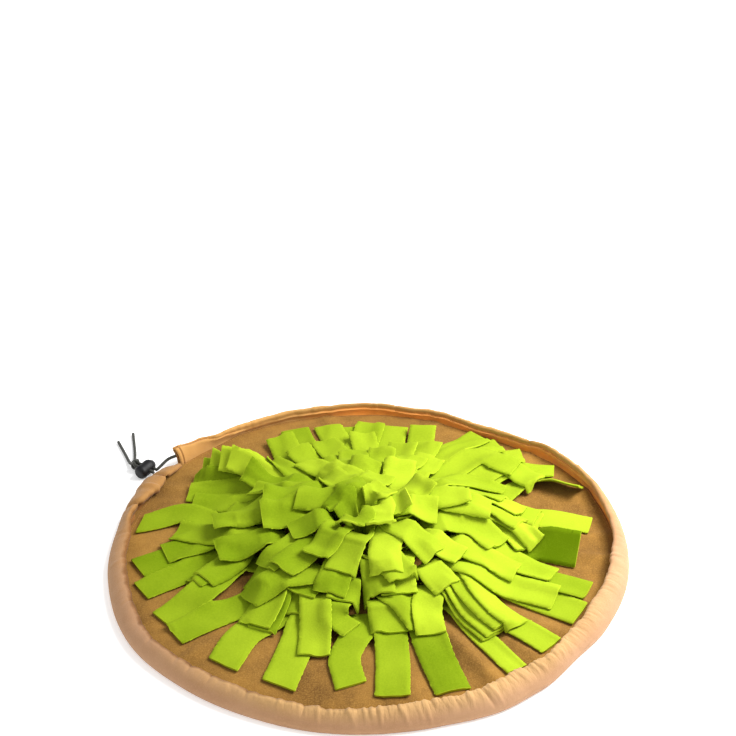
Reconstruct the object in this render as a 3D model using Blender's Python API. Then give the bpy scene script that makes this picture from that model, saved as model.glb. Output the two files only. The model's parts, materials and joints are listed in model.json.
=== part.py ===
"""A round snuffle mat, about half a metre across: a tan cloth disc, a drawstring casing sewn round its edge,
fleece strips sewn on in rings, and a cord lock and knot on the drawstring where it leaves the casing.

Metres, +Z up. The origin is the middle of the mat on the floor, and the front of the mat faces -Y.
Plan angles are in degrees from +X, turning towards +Y.
"""

import math
from collections import namedtuple

import bmesh
import bpy
from mathutils import Vector

MM = 0.001

# Cloth sizes. Pieces that are sewn together stand SEAM_GAP apart.
CLOTH = 2.0 * MM
FLEECE = 2.0 * MM
SEAM_GAP = 0.4 * MM

# The outline is uneven, so this offset brings the middle of its box to the origin.
MAT_OFFSET = Vector((-2.91, 2.57, 0.0)) * MM

# The outline that the casing's foot draws on the floor, uneven as cloth lies.
Outline = namedtuple("Outline", "angle radius")
OUTLINE = [
    Outline(0, 252 * MM),
    Outline(18, 252 * MM),
    Outline(30, 249 * MM),
    Outline(46, 238 * MM),
    Outline(58, 237 * MM),
    Outline(75, 242 * MM),
    Outline(90, 246 * MM),
    Outline(120, 251 * MM),
    Outline(135, 247 * MM),
    Outline(144, 248 * MM),
    Outline(148, 254 * MM),
    Outline(153, 257 * MM),
    Outline(161, 251 * MM),
    Outline(176, 246 * MM),
    Outline(190, 247 * MM),
    Outline(215, 251 * MM),
    Outline(230, 249 * MM),
    Outline(243, 249 * MM),
    Outline(262, 251 * MM),
    Outline(283, 251 * MM),
    Outline(296, 254 * MM),
    Outline(305, 252 * MM),
    Outline(318, 247 * MM),
    Outline(328, 250 * MM),
    Outline(345, 252 * MM),
]

# How the casing stands at each angle: how far its top edge leans in over the disc, how high it stands,
# how thick the flattened tube is, and how deep its gathers are.
Stand = namedtuple("Stand", "angle lean height thickness gather")
CASING = [
    Stand(144, 9 * MM, 8 * MM, 4.0 * MM, 0.0 * MM),
    Stand(148, 19 * MM, 12 * MM, 5.2 * MM, 0.2 * MM),
    Stand(153, 24 * MM, 15 * MM, 6.2 * MM, 0.4 * MM),
    Stand(161, 20 * MM, 18 * MM, 7.0 * MM, 0.5 * MM),
    Stand(175, 17 * MM, 19 * MM, 7.0 * MM, 0.5 * MM),
    Stand(200, 18 * MM, 19 * MM, 7.0 * MM, 0.5 * MM),
    Stand(218, 13 * MM, 19 * MM, 7.0 * MM, 0.6 * MM),
    Stand(240, 14 * MM, 19 * MM, 7.5 * MM, 0.8 * MM),
    Stand(262, 13 * MM, 18 * MM, 7.5 * MM, 1.3 * MM),
    Stand(285, 16 * MM, 19 * MM, 7.5 * MM, 1.6 * MM),
    Stand(300, 19 * MM, 19 * MM, 7.5 * MM, 1.6 * MM),
    Stand(318, 15 * MM, 19 * MM, 7.5 * MM, 1.5 * MM),
    Stand(330, 20 * MM, 20 * MM, 7.5 * MM, 1.3 * MM),
    Stand(345, 17 * MM, 20 * MM, 7.5 * MM, 1.1 * MM),
    Stand(360, 14 * MM, 21 * MM, 7.0 * MM, 1.0 * MM),
    Stand(390, 8 * MM, 21 * MM, 7.0 * MM, 0.9 * MM),
    Stand(407, 4 * MM, 19 * MM, 7.0 * MM, 0.8 * MM),
    Stand(420, 4 * MM, 17 * MM, 7.0 * MM, 0.8 * MM),
    Stand(450, 6 * MM, 18 * MM, 7.0 * MM, 0.7 * MM),
    Stand(480, 10 * MM, 18 * MM, 7.0 * MM, 0.5 * MM),
    Stand(490, 6 * MM, 18 * MM, 7.4 * MM, 0.3 * MM),
    Stand(497, -4 * MM, 20 * MM, 7.8 * MM, 0.1 * MM),
    Stand(503, -13 * MM, 22 * MM, 8.0 * MM, 0.0 * MM),
]
CASING_STEP = 2.0
DISC_STEPS = 360
MOUTH_WALL = 2.2 * MM
MOUTH_DEPTH = 3.2
# The casing's outer face from foot to top edge, as shares of its lean and its height.
Face = namedtuple("Face", "inward up")
CASING_FACE = [
    Face(0.16, 0.00),
    Face(0.00, 0.28),
    Face(0.14, 0.58),
    Face(0.44, 0.84),
    Face(0.80, 0.97),
    Face(1.00, 0.90),
]
# Where the casing stands upright or leans out, its top edge still turns in by this much.
HOOK_FROM = 0.44
LEAST_HOOK = 8 * MM

# The fleece rings, outermost first. The underside of a ring's strips follows its profile, radius by height.
# The strips that lie in the open have rows of their own, and the rest of the ring is filled evenly.
Ring = namedtuple("Ring", "name strips backing root_width tip_width reach turn profile")
Rise = namedtuple("Rise", "radius height")
Tip = namedtuple("Tip", "angle radius")
RINGS = [
    Ring("fleece_ring_1", 26, 5 * MM, 17 * MM, 30 * MM, 9 * MM, 190.0, [
        Rise(105 * MM, 2.4 * MM), Rise(112 * MM, 5 * MM), Rise(126 * MM, 9 * MM),
        Rise(142 * MM, 8.5 * MM), Rise(162 * MM, 5 * MM), Rise(182 * MM, 2.8 * MM),
        Rise(200 * MM, 2.4 * MM), Rise(224 * MM, 2.4 * MM),
    ]),
    Ring("fleece_ring_2", 22, 5 * MM, 16 * MM, 30 * MM, 16 * MM, 182.0, [
        Rise(84 * MM, 2.4 * MM), Rise(91 * MM, 11 * MM), Rise(101 * MM, 19 * MM),
        Rise(113 * MM, 23 * MM),
        Rise(129 * MM, 21 * MM), Rise(147 * MM, 16.5 * MM), Rise(167 * MM, 12 * MM), Rise(192 * MM, 8.5 * MM),
    ]),
    Ring("fleece_ring_3", 17, 5 * MM, 14 * MM, 30 * MM, 16 * MM, 188.0, [
        Rise(62 * MM, 2.4 * MM), Rise(67 * MM, 13 * MM), Rise(76 * MM, 26 * MM), Rise(88 * MM, 34 * MM),
        Rise(102 * MM, 35 * MM), Rise(118 * MM, 31.5 * MM), Rise(136 * MM, 26 * MM), Rise(154 * MM, 21.5 * MM),
    ]),
    Ring("fleece_ring_4", 12, 5 * MM, 12 * MM, 28 * MM, 13 * MM, 194.0, [
        Rise(40 * MM, 2.4 * MM), Rise(44 * MM, 15 * MM), Rise(51 * MM, 30 * MM), Rise(63 * MM, 42 * MM),
        Rise(78 * MM, 45 * MM), Rise(96 * MM, 43 * MM), Rise(114 * MM, 40 * MM),
    ]),
    Ring("fleece_ring_5", 8, 5 * MM, 9 * MM, 27 * MM, 10 * MM, 185.0, [
        Rise(20 * MM, 2.4 * MM), Rise(23 * MM, 18 * MM), Rise(29 * MM, 36 * MM), Rise(40 * MM, 49 * MM),
        Rise(54 * MM, 53 * MM), Rise(70 * MM, 52 * MM), Rise(84 * MM, 51 * MM),
    ]),
    Ring("fleece_tuft", 5, 4 * MM, 5 * MM, 24 * MM, 8 * MM, 200.0, [
        Rise(8 * MM, 2.4 * MM), Rise(9.5 * MM, 20 * MM), Rise(14 * MM, 43 * MM), Rise(24 * MM, 58 * MM),
        Rise(36 * MM, 62 * MM), Rise(50 * MM, 61 * MM),
    ]),
]
PLACED_TIPS = {
    "fleece_ring_1": [
        Tip(190, 220 * MM), Tip(200, 219 * MM), Tip(209, 216 * MM), Tip(218.5, 215 * MM),
        Tip(233.5, 213 * MM), Tip(249.5, 215 * MM), Tip(265, 208 * MM), Tip(275.5, 215 * MM),
        Tip(288, 221 * MM), Tip(304.5, 224 * MM), Tip(316, 224 * MM), Tip(328, 224 * MM),
        Tip(338.5, 220 * MM), Tip(351, 208 * MM), Tip(364, 216 * MM), Tip(384, 222 * MM),
    ],
    "fleece_ring_2": [
        Tip(182, 186 * MM), Tip(196, 178 * MM), Tip(208, 169 * MM), Tip(222, 172 * MM), Tip(237, 176 * MM),
        Tip(256, 187 * MM), Tip(277, 164 * MM), Tip(291, 168 * MM), Tip(306, 191 * MM), Tip(322, 185 * MM),
        Tip(338, 178 * MM), Tip(353, 172 * MM), Tip(368, 176 * MM),
    ],
}
MOST_LIFT = 3.0 * MM
SIDE_ROOM = 0.88

# The drawstring, its lock and the knot that keeps the lock on, all lying just outside the casing's mouth.
CORD_WIDTH = 3.3 * MM
LOCK_CENTRE = Vector((-231.2, 133.5, 7.5)) * MM
LOCK_TURN = 59.0
LOCK_RADIUS = 7.5 * MM
LOCK_LENGTH = 21.0 * MM
LOCK_BEVEL = 3.0 * MM
BUTTON_RADIUS = 5.4 * MM
BUTTON_LENGTH = 6.0 * MM
BORE_WIDTH = 4.0 * MM
TAB_BORE = 5.9 * MM
LEFT_BORE = 0.3 * MM
TAB_KNOTS = [(-199.0, 147.6, 14.5), (-208.0, 144.5, 12.0)]
TAB_GAPS = (4 * MM, 1 * MM)
LEFT_GAPS = (4 * MM, 1 * MM)
LEFT_END_DROP = -1.2 * MM
PAST_BORE = 2.6 * MM
TAIL_KNOTS = {
    "cord_tail_back": [(-243.1, 150.0, 5.2), (-245.5, 158, 2.8), (-248, 176, 1.85), (-255, 213, 1.75)],
    "cord_tail_out": [(-246.6, 147.1, 5.2), (-251, 155, 2.8), (-258, 172, 1.85), (-269, 197, 1.75)],
}
KNOT_OUT = 14.9 * MM
KNOT_ALONG = 3.6 * MM
KNOT_HEIGHT = 6.6 * MM
KNOT_SIZE = Vector((9.0, 13.0, 9.6)) * MM

CASING_TAN = (0.62, 0.40, 0.22)
DISC_TAN = (0.50, 0.29, 0.10)
FLEECE_LIME = (0.38, 0.62, 0.015)
CORD_BLACK = (0.022, 0.022, 0.020)
LOCK_BLACK = (0.006, 0.006, 0.008)


def clear_scene():
    for obj in list(bpy.data.objects):
        bpy.data.objects.remove(obj, do_unlink=True)


def new_collection(name):
    collection = bpy.data.collections.new(name)
    bpy.context.scene.collection.children.link(collection)
    return collection


def material(name, colour, roughness):
    made = bpy.data.materials.new(name)
    made.use_nodes = True
    shader = made.node_tree.nodes["Principled BSDF"]
    shader.inputs["Base Color"].default_value = (*colour, 1.0)
    shader.inputs["Roughness"].default_value = roughness
    shader.inputs["Metallic"].default_value = 0.0
    return made


def add_object(name, data, collection, parent, slot):
    obj = bpy.data.objects.new(name, data)
    collection.objects.link(obj)
    obj.parent = parent
    data.materials.append(slot)
    return obj


def interpolate(rows, key, value, at, ease=True):
    """The value column at a place along the key column, with eased or straight steps between rows."""
    for low, high in zip(rows, rows[1:]):
        if getattr(low, key) <= at <= getattr(high, key):
            share = (at - getattr(low, key)) / (getattr(high, key) - getattr(low, key))
            share = share * share * (3 - 2 * share) if ease else share
            return getattr(low, value) + share * (getattr(high, value) - getattr(low, value))
    return getattr(rows[0] if at < getattr(rows[0], key) else rows[-1], value)


def outline_radius(angle):
    rows = OUTLINE + [Outline(360, OUTLINE[0].radius)]
    return interpolate(rows, "angle", "radius", angle % 360)


def polar(radius, angle, height=0.0):
    turn = math.radians(angle)
    return Vector((radius * math.cos(turn), radius * math.sin(turn), height))


def vary(seed):
    """An even spread of values from -1 to 1, the same on every run."""
    return 2 * (math.sin(12.9898 * seed + 4.1) * 43758.5453 % 1.0) - 1


def mesh_from(name, bm):
    bmesh.ops.recalc_face_normals(bm, faces=bm.faces)
    mesh = bpy.data.meshes.new(name)
    bm.to_mesh(mesh)
    bm.free()
    mesh.shade_smooth()
    mesh.set_sharp_from_angle(angle=math.radians(50))
    return mesh


def disc_radius(angle):
    """The disc's edge runs just inside the casing's foot."""
    along = angle if angle >= CASING[0].angle else angle + 360
    foot = outline_radius(angle) - inward_by(CASING_FACE[0], interpolate(CASING, "angle", "lean", along))
    return foot - interpolate(CASING, "angle", "thickness", along) - SEAM_GAP


def base_cloth(collection, parent, slot):
    """The disc: a flat sheet that the casing is sewn round."""
    curve = bpy.data.curves.new("base_cloth", "CURVE")
    curve.dimensions = "2D"
    curve.fill_mode = "BOTH"
    curve.extrude = CLOTH / 2
    spline = curve.splines.new("POLY")
    steps = DISC_STEPS
    spline.points.add(steps - 1)
    for step, point in enumerate(spline.points):
        angle = 360 * step / steps
        point.co = (*polar(disc_radius(angle), angle), 1.0)
    spline.use_cyclic_u = True
    disc = add_object("base_cloth", curve, collection, parent, slot)
    disc.location.z = CLOTH / 2


def inward_by(face, lean):
    """How far a point of the casing's outer face stands in from its foot. The foot itself never stands out."""
    if face.up == 0:
        return face.inward * max(lean, 0.0)
    if face.inward <= HOOK_FROM:
        return face.inward * lean
    return HOOK_FROM * lean + (face.inward - HOOK_FROM) * max(lean, LEAST_HOOK)


def casing_section(angle, wall=0.0):
    """Points round the flattened tube at this angle. A wall above zero gives the hollow inside that wall."""
    foot = outline_radius(angle)
    lean = interpolate(CASING, "angle", "lean", angle)
    height = interpolate(CASING, "angle", "height", angle)
    thickness = interpolate(CASING, "angle", "thickness", angle)
    gather = interpolate(CASING, "angle", "gather", angle) * vary(round(angle / CASING_STEP))
    outer = []
    for face in CASING_FACE:
        radius = foot - inward_by(face, lean) + gather * face.up
        outer.append(Vector((radius, 0.0, face.up * height)))
    inner = []
    for index, point in enumerate(outer):
        ahead = outer[min(index + 1, len(outer) - 1)]
        behind = outer[max(index - 1, 0)]
        along = (ahead - behind).normalized()
        inner.append(point + thickness * Vector((-along.z, 0.0, along.x)))
    inner[0] = outer[0] - Vector((thickness, 0.0, 0.0))
    inner[-1] = outer[-1] + Vector((0.1, 0.0, -0.62)) * thickness
    inner[-2] = (inner[-1] + inner[-3]) / 2
    loop = outer + inner[::-1]
    if wall:
        middle = sum(loop, Vector()) / len(loop)
        spine = [(a + b) / 2 for a, b in zip(outer, inner)]
        spine = spine + spine[::-1]
        loop = [s + (p - s) * max(0.0, 1 - wall / (p - s).length) for p, s in zip(loop, spine)]
        loop = [p + (middle - p) * 0.12 for p in loop]
    turn = math.radians(angle)
    return [Vector((p.x * math.cos(turn), p.x * math.sin(turn), max(p.z, 0.0))) for p in loop]


def loft(bm, sections):
    """Joins closed sections with the same number of points, and caps both ends."""
    loops = [[bm.verts.new(point) for point in section] for section in sections]
    for low, high in zip(loops, loops[1:]):
        for index in range(len(low)):
            after = (index + 1) % len(low)
            bm.faces.new((low[index], low[after], high[after], high[index]))
    bm.faces.new(loops[0])
    bm.faces.new(loops[-1][::-1])


def rim_casing(collection, parent, slot):
    """The casing, from its tapered end at the left round the front to the hemmed tab and its mouth."""
    first, last = CASING[0].angle, CASING[-1].angle
    steps = round((last - first) / CASING_STEP)
    sections = [casing_section(first + (last - first) * step / steps) for step in range(steps + 1)]
    sections.append(casing_section(last, MOUTH_WALL))
    sections.append(casing_section(last - MOUTH_DEPTH, MOUTH_WALL))
    bm = bmesh.new()
    loft(bm, sections)
    add_object("rim_casing", mesh_from("rim_casing", bm), collection, parent, slot)


def strip_tips(ring):
    """Each strip's tip: the placed ones first, then the rest of the way round, evenly but not exactly."""
    tips = list(PLACED_TIPS.get(ring.name, [Tip(ring.turn, ring.profile[-1].radius)]))
    left = ring.strips - len(tips)
    step = (ring.turn + 360 - tips[-1].angle) / (left + 1)
    last = tips[-1].angle
    for count in range(1, left + 1):
        seed = count + 31 * ring.strips
        radius = ring.profile[-1].radius - ring.reach * (0.5 + 0.5 * vary(seed + 0.37))
        tips.append(Tip(last + step * (count + 0.2 * vary(seed)), radius))
    return tips


def root_angles(tips):
    """The roots lie in the order of the tips, but more evenly spaced than they are."""
    angles = [tip.angle for tip in tips]
    for _ in range(3):
        before = [angles[-1] - 360] + angles[:-1]
        after = angles[1:] + [angles[0] + 360]
        angles = [(a + b + c) / 3 for a, b, c in zip(before, angles, after)]
    return angles


def fleece_ring(ring, collection, parent, slot):
    """A narrow sewn-down backing, with strips that grow from its outer side and fall outwards."""
    bm = bmesh.new()
    root = ring.profile[0].radius
    floor = ring.profile[0].height
    tips = strip_tips(ring)
    roots = root_angles(tips)
    half_root = math.degrees(ring.root_width / 2 / root)
    posts = []
    for angle in roots:
        for side in (-1, 1):
            corners = [(root - ring.backing, floor), (root - ring.backing, floor + FLEECE),
                       (root, floor + FLEECE), (root, floor)]
            posts.append([bm.verts.new(polar(radius, angle + side * half_root, height))
                          for radius, height in corners])
    for index, post in enumerate(posts):
        after = posts[(index + 1) % len(posts)]
        for corner in (0, 1, 3):
            other = (corner + 1) % 4
            bm.faces.new((post[corner], post[other], after[other], after[corner]))
        if index % 2:
            bm.faces.new((post[2], post[3], after[3], after[2]))
    for strip, tip in enumerate(tips):
        right, left = posts[2 * strip], posts[2 * strip + 1]
        previous = [right[3], right[2], left[2], left[3]]
        for section in strip_sections(ring, tips, roots, strip):
            loop = [bm.verts.new(point) for point in section]
            for corner in range(4):
                other = (corner + 1) % 4
                bm.faces.new((previous[corner], previous[other], loop[other], loop[corner]))
            previous = loop
        bm.faces.new(previous)
    add_object(ring.name, mesh_from(ring.name, bm), collection, parent, slot)


def strip_sections(ring, tips, roots, strip):
    """Four-sided sections of one strip, from just past its root to its tip."""
    root = ring.profile[0].radius
    full = ring.profile[-1].radius
    count = len(tips)
    lift = MOST_LIFT * (0.5 + 0.5 * vary(strip + 7.7 * count))

    def angle_at(index, share):
        turn = 360 * (index // count)
        return turn + roots[index % count] + (tips[index % count].angle - roots[index % count]) * share

    for row, rise in enumerate(ring.profile[1:]):
        share = (rise.radius - root) / (full - root)
        radius = root + (tips[strip].radius - root) * share
        angle = angle_at(strip, share)
        room = min(angle_at(strip + 1, share) - angle, angle - angle_at(strip - 1, share))
        widest = ring.root_width + (ring.tip_width - ring.root_width) * min(1, 2.2 * share)
        width = min(widest, SIDE_ROOM * math.radians(room) * radius)
        before = ring.profile[row]
        slope = (rise.height - before.height) / (rise.radius - before.radius)
        deep = FLEECE * math.sqrt(1 + min(abs(slope), 1.6) ** 2)
        low = interpolate(ring.profile, "radius", "height", radius, ease=False)
        low += lift * math.sin(math.pi * share) + SEAM_GAP * share
        centre = polar(radius, angle)
        across = Vector((-centre.y, centre.x, 0.0)).normalized() * width / 2
        yield [centre + side * across + Vector((0, 0, height))
               for side, height in ((-1, low), (-1, low + deep), (1, low + deep), (1, low))]


def lock_point(inward, along, height=0.0):
    """A place by the lock: inward towards the casing's side, and along its barrel towards the tab."""
    turn = math.radians(LOCK_TURN)
    barrel = Vector((math.cos(turn), math.sin(turn), 0.0))
    bore = Vector((barrel.y, -barrel.x, 0.0))
    return LOCK_CENTRE + inward * bore + along * barrel + Vector((0, 0, height))


def tube(name, points, collection, parent, slot):
    curve = bpy.data.curves.new(name, "CURVE")
    curve.dimensions = "3D"
    curve.bevel_depth = CORD_WIDTH / 2
    curve.bevel_resolution = 2
    curve.use_fill_caps = True
    spline = curve.splines.new("POLY")
    spline.points.add(len(points) - 1)
    for target, point in zip(spline.points, points):
        target.co = (*point, 1.0)
    add_object(name, curve, collection, parent, slot)


def smooth_path(knots, steps=4):
    """Points along a smooth curve through the knots."""
    ends = [2 * knots[0] - knots[1]] + list(knots) + [2 * knots[-1] - knots[-2]]
    points = []
    for index in range(len(knots) - 1):
        a, b, c, d = ends[index:index + 4]
        for step in range(steps):
            t = step / steps
            points.append(0.5 * (2 * b + (c - a) * t + (2 * a - 5 * b + 4 * c - d) * t * t
                                 + (3 * b - a - 3 * c + d) * t ** 3))
    points.append(Vector(knots[-1]))
    return points


def cord_lock(collection, cutters, parent, slot):
    """A barrel lock lying on its side: two bores for the cord, and the button at one end."""
    bm = bmesh.new()
    bmesh.ops.create_cone(bm, cap_ends=True, segments=24, radius1=LOCK_RADIUS, radius2=LOCK_RADIUS,
                          depth=LOCK_LENGTH)
    rims = [edge for edge in bm.edges if abs(edge.verts[0].co.z - edge.verts[1].co.z) < MM / 10]
    bmesh.ops.bevel(bm, geom=rims, offset=LOCK_BEVEL, segments=3, profile=0.5, affect="EDGES")
    body = add_object("cord_lock", mesh_from("cord_lock", bm), collection, parent, slot)
    body.location = LOCK_CENTRE
    body.rotation_euler = (0.0, math.radians(90), math.radians(LOCK_TURN))
    bpy.context.view_layer.update()
    bm = bmesh.new()
    bmesh.ops.create_cone(bm, cap_ends=True, segments=20, radius1=BUTTON_RADIUS, radius2=BUTTON_RADIUS * 0.9,
                          depth=2 * BUTTON_LENGTH)
    button = add_object("lock_button_join", mesh_from("lock_button_join", bm), cutters, parent, slot)
    button.location = lock_point(0.0, LOCK_LENGTH / 2)
    button.rotation_euler = body.rotation_euler
    join_or_cut(body, button, "UNION")
    for side, along in enumerate((LEFT_BORE, TAB_BORE)):
        bm = bmesh.new()
        bmesh.ops.create_cone(bm, cap_ends=True, segments=16, radius1=BORE_WIDTH / 2, radius2=BORE_WIDTH / 2,
                              depth=4 * LOCK_RADIUS)
        bore = add_object(f"lock_bore_cut_{side}", mesh_from("lock_bore_cut", bm), cutters, parent, slot)
        bore.location = lock_point(0.0, along)
        bore.rotation_euler = (math.radians(90), 0.0, math.radians(LOCK_TURN))
        join_or_cut(body, bore, "DIFFERENCE")


def join_or_cut(body, other, operation):
    other.hide_render = True
    other.display_type = "WIRE"
    boolean = body.modifiers.new(other.name, "BOOLEAN")
    boolean.operation = operation
    boolean.object = other


def cord_knot(collection, parent, slot):
    """Both cords tied together in one overhand knot: a lumpy ball with a waist."""
    bm = bmesh.new()
    bmesh.ops.create_uvsphere(bm, u_segments=16, v_segments=10, radius=0.5)
    for vert in bm.verts:
        turn = math.atan2(vert.co.y, vert.co.x)
        vert.co *= 1 + 0.07 * math.cos(3 * turn + 5 * vert.co.z)
    knot = add_object("cord_knot", mesh_from("cord_knot", bm), collection, parent, slot)
    knot.scale = KNOT_SIZE
    knot.location = lock_point(-KNOT_OUT, KNOT_ALONG, KNOT_HEIGHT - LOCK_CENTRE.z)
    knot.rotation_euler.z = math.radians(LOCK_TURN - 90)


def drawstring(collection, parent, slot):
    """Each cord runs from its end of the casing through the lock to the knot, and past it lies loose."""
    from_tab = [Vector(knot) * MM for knot in TAB_KNOTS]
    from_tab += [lock_point(LOCK_RADIUS + gap, TAB_BORE) for gap in TAB_GAPS]
    far, near = LEFT_GAPS
    from_left = [lock_point(LOCK_RADIUS + far, LEFT_BORE, LEFT_END_DROP), lock_point(LOCK_RADIUS + near, LEFT_BORE)]
    for name, along, route in (("cord_from_tab", TAB_BORE, from_tab), ("cord_from_left", LEFT_BORE, from_left)):
        through = [lock_point(0.0, along), lock_point(-LOCK_RADIUS - PAST_BORE, along)]
        tube(name, smooth_path(route + through), collection, parent, slot)
    for name, knots in TAIL_KNOTS.items():
        tube(name, smooth_path([Vector(knot) * MM for knot in knots]), collection, parent, slot)


def build():
    clear_scene()
    mat = new_collection("snuffle_mat")
    cutters = new_collection("cutters")
    origin = bpy.data.objects.new("mat_centre", None)
    mat.objects.link(origin)
    origin.location = MAT_OFFSET
    cord = material("cord_black", CORD_BLACK, 0.8)
    base_cloth(mat, origin, material("disc_cloth", DISC_TAN, 0.85))
    rim_casing(mat, origin, material("casing_cloth", CASING_TAN, 0.8))
    fleece = material("fleece_lime", FLEECE_LIME, 0.95)
    for ring in RINGS:
        fleece_ring(ring, mat, origin, fleece)
    cord_lock(mat, cutters, origin, material("lock_plastic", LOCK_BLACK, 0.35))
    cord_knot(mat, origin, cord)
    drawstring(mat, origin, cord)


build()
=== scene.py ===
# %% [markdown]
# # A drawstring snuffle mat
# The mat is a flat disc of woven cloth. A casing of lighter cloth is sewn round its edge. A drawstring
# comes out of it at the back left, where a cord lock and a knot hold it. Rows of fleece strips are sewn on
# in rings, each ring lying over the one outside it, so that food can be hidden between them.
#
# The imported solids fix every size. This script dresses them, one piece at a time.

import json
import math
from collections import namedtuple

import bmesh
import bpy
import numpy as np
from mathutils import Matrix, Vector

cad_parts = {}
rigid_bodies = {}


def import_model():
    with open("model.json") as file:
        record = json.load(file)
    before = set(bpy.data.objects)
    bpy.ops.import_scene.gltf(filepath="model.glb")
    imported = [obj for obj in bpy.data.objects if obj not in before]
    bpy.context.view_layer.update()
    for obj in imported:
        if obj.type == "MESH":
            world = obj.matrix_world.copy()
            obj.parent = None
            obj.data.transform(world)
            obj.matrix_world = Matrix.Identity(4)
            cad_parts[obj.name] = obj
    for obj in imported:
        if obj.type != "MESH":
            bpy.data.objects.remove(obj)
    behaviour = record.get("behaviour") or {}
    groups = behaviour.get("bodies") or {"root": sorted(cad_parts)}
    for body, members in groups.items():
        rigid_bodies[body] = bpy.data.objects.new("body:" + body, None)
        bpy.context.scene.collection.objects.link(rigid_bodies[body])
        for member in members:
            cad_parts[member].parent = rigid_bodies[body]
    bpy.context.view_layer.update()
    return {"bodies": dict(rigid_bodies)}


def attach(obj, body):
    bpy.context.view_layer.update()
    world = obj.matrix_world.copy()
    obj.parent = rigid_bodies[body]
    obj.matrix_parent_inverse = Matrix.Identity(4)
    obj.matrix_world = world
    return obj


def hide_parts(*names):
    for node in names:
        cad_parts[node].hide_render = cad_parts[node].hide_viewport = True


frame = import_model()
MM = 0.001
BODY = next(iter(frame["bodies"]))
# The outline is uneven, and this offset brings the middle of its box to the origin, as in the solids.
CENTRE = np.array([-2.91, 2.57, 0.0]) * MM

# %% [markdown]
# ## The camera
# The camera stands about 1.3 m off, in front of the mat and at about table height, and looks down at it. A
# long lens keeps the near and far edges close in scale. It is made first.

# %% The camera
CAMERA_AT = Vector((-2.9, -1056.1, 805.6)) * MM
CAMERA_AIM = Vector((4.8, 354.6, 0.0)) * MM
CAMERA_LENS = 66.2
CAMERA_SENSOR = 36.0
CAMERA_ROLL = math.radians(-1.09)


def new_object(name, data):
    thing = bpy.data.objects.new(name, data)
    bpy.context.scene.collection.objects.link(thing)
    return thing


def add_camera():
    data = bpy.data.cameras.new("camera")
    data.lens = CAMERA_LENS
    data.sensor_width = CAMERA_SENSOR
    data.dof.use_dof = False
    camera = new_object("camera", data)
    look = (CAMERA_AIM - CAMERA_AT).to_track_quat("-Z", "Y").to_matrix()
    camera.rotation_euler = (look @ Matrix.Rotation(CAMERA_ROLL, 3, "Z")).to_euler()
    camera.location = CAMERA_AT
    bpy.context.scene.camera = camera


add_camera()
print("camera", [round(value, 3) for value in CAMERA_AT], "lens", CAMERA_LENS)

# %% [markdown]
# ## Small helpers
# Each finished piece is a plain mesh with its place in its points, so its object can stay at the origin.
# Most pieces are tubes or strips, whose points come ring by ring, so one function makes the faces of them
# all. Colours are written as on a screen, from 0 to 255, and turned into the linear values that shaders
# use.


# %% Helpers for meshes
def add_mesh(name, points, faces, material, smooth_angle=60):
    mesh = bpy.data.meshes.new(name)
    mesh.from_pydata([tuple(point) for point in points], [], [tuple(face) for face in faces])
    mesh.materials.append(material)
    mesh.shade_smooth()
    mesh.set_sharp_from_angle(angle=math.radians(smooth_angle))
    mesh.update()
    return new_object(name, mesh)


def tube_faces(rings, sides, closed=False):
    """Quads from each ring of a tube to the next. In a closed tube the last ring meets the first."""
    faces = []
    for ring in range(rings if closed else rings - 1):
        here, there = ring * sides, (ring + 1) % rings * sides
        for side in range(sides):
            other = (side + 1) % sides
            faces.append((here + side, here + other, there + other, there + side))
    return faces


def flipped(quads):
    return [(a, d, c, b) for a, b, c, d in quads]


def settle_modifiers(piece):
    """Replaces the piece's mesh by what its modifiers make of it."""
    graph = bpy.context.evaluated_depsgraph_get()
    mesh = bpy.data.meshes.new_from_object(piece.evaluated_get(graph))
    piece.modifiers.clear()
    piece.data = mesh
    return piece


def triangles(piece):
    return sum(len(face.vertices) - 2 for face in piece.data.polygons)


def rows_of(kind, *rows):
    """A table: each row becomes a named tuple of its kind."""
    return [kind(*row) for row in rows]


# %% Helpers for shapes
def unit(vectors):
    return vectors / np.linalg.norm(vectors, axis=-1, keepdims=True)


def ramp(low, high, value):
    """0 below low, 1 above high, and an eased step between."""
    share = np.clip((np.asarray(value, float) - low) / (high - low), 0, 1)
    return share * share * (3 - 2 * share)


def between(a, b, c, d, t):
    """The place a share t of the way from b to c, on a smooth curve through all four."""
    return 0.5 * (2 * b + (c - a) * t + (2 * a - 5 * b + 4 * c - d) * t**2 + (3 * b - a - 3 * c + d) * t**3)


def length_of(points):
    return float(np.linalg.norm(np.diff(points, axis=0), axis=1).sum())


def evenly_spaced(points, count, endpoint=True):
    """The line through the points, drawn again with evenly spaced ones."""
    along = np.concatenate([[0], np.cumsum(np.linalg.norm(np.diff(points, axis=0), axis=1))])
    places = np.linspace(0, along[-1], count, endpoint=endpoint)
    return np.stack([np.interp(places, along, column) for column in points.T], axis=1)


def smooth_curve(knots, spacing):
    """Evenly spaced points on a smooth curve through the knots."""
    knots = np.asarray(knots, float)
    ends = np.vstack([2 * knots[0] - knots[1], knots, 2 * knots[-1] - knots[-2]])
    t = np.linspace(0, 1, 24, endpoint=False)[:, None]
    found = [between(*four, t) for four in zip(ends, ends[1:], ends[2:], ends[3:])]
    fine = np.vstack(found + [knots[-1:]])
    return evenly_spaced(fine, max(2, round(length_of(fine) / spacing) + 1))


# %% Helpers for materials
def screen(red, green, blue):
    """A screen colour as linear red, green, blue and alpha."""
    def linear(value):
        share = value / 255
        return share / 12.92 if share <= 0.04045 else ((share + 0.055) / 1.055) ** 2.4

    return (linear(red), linear(green), linear(blue), 1.0)


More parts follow.
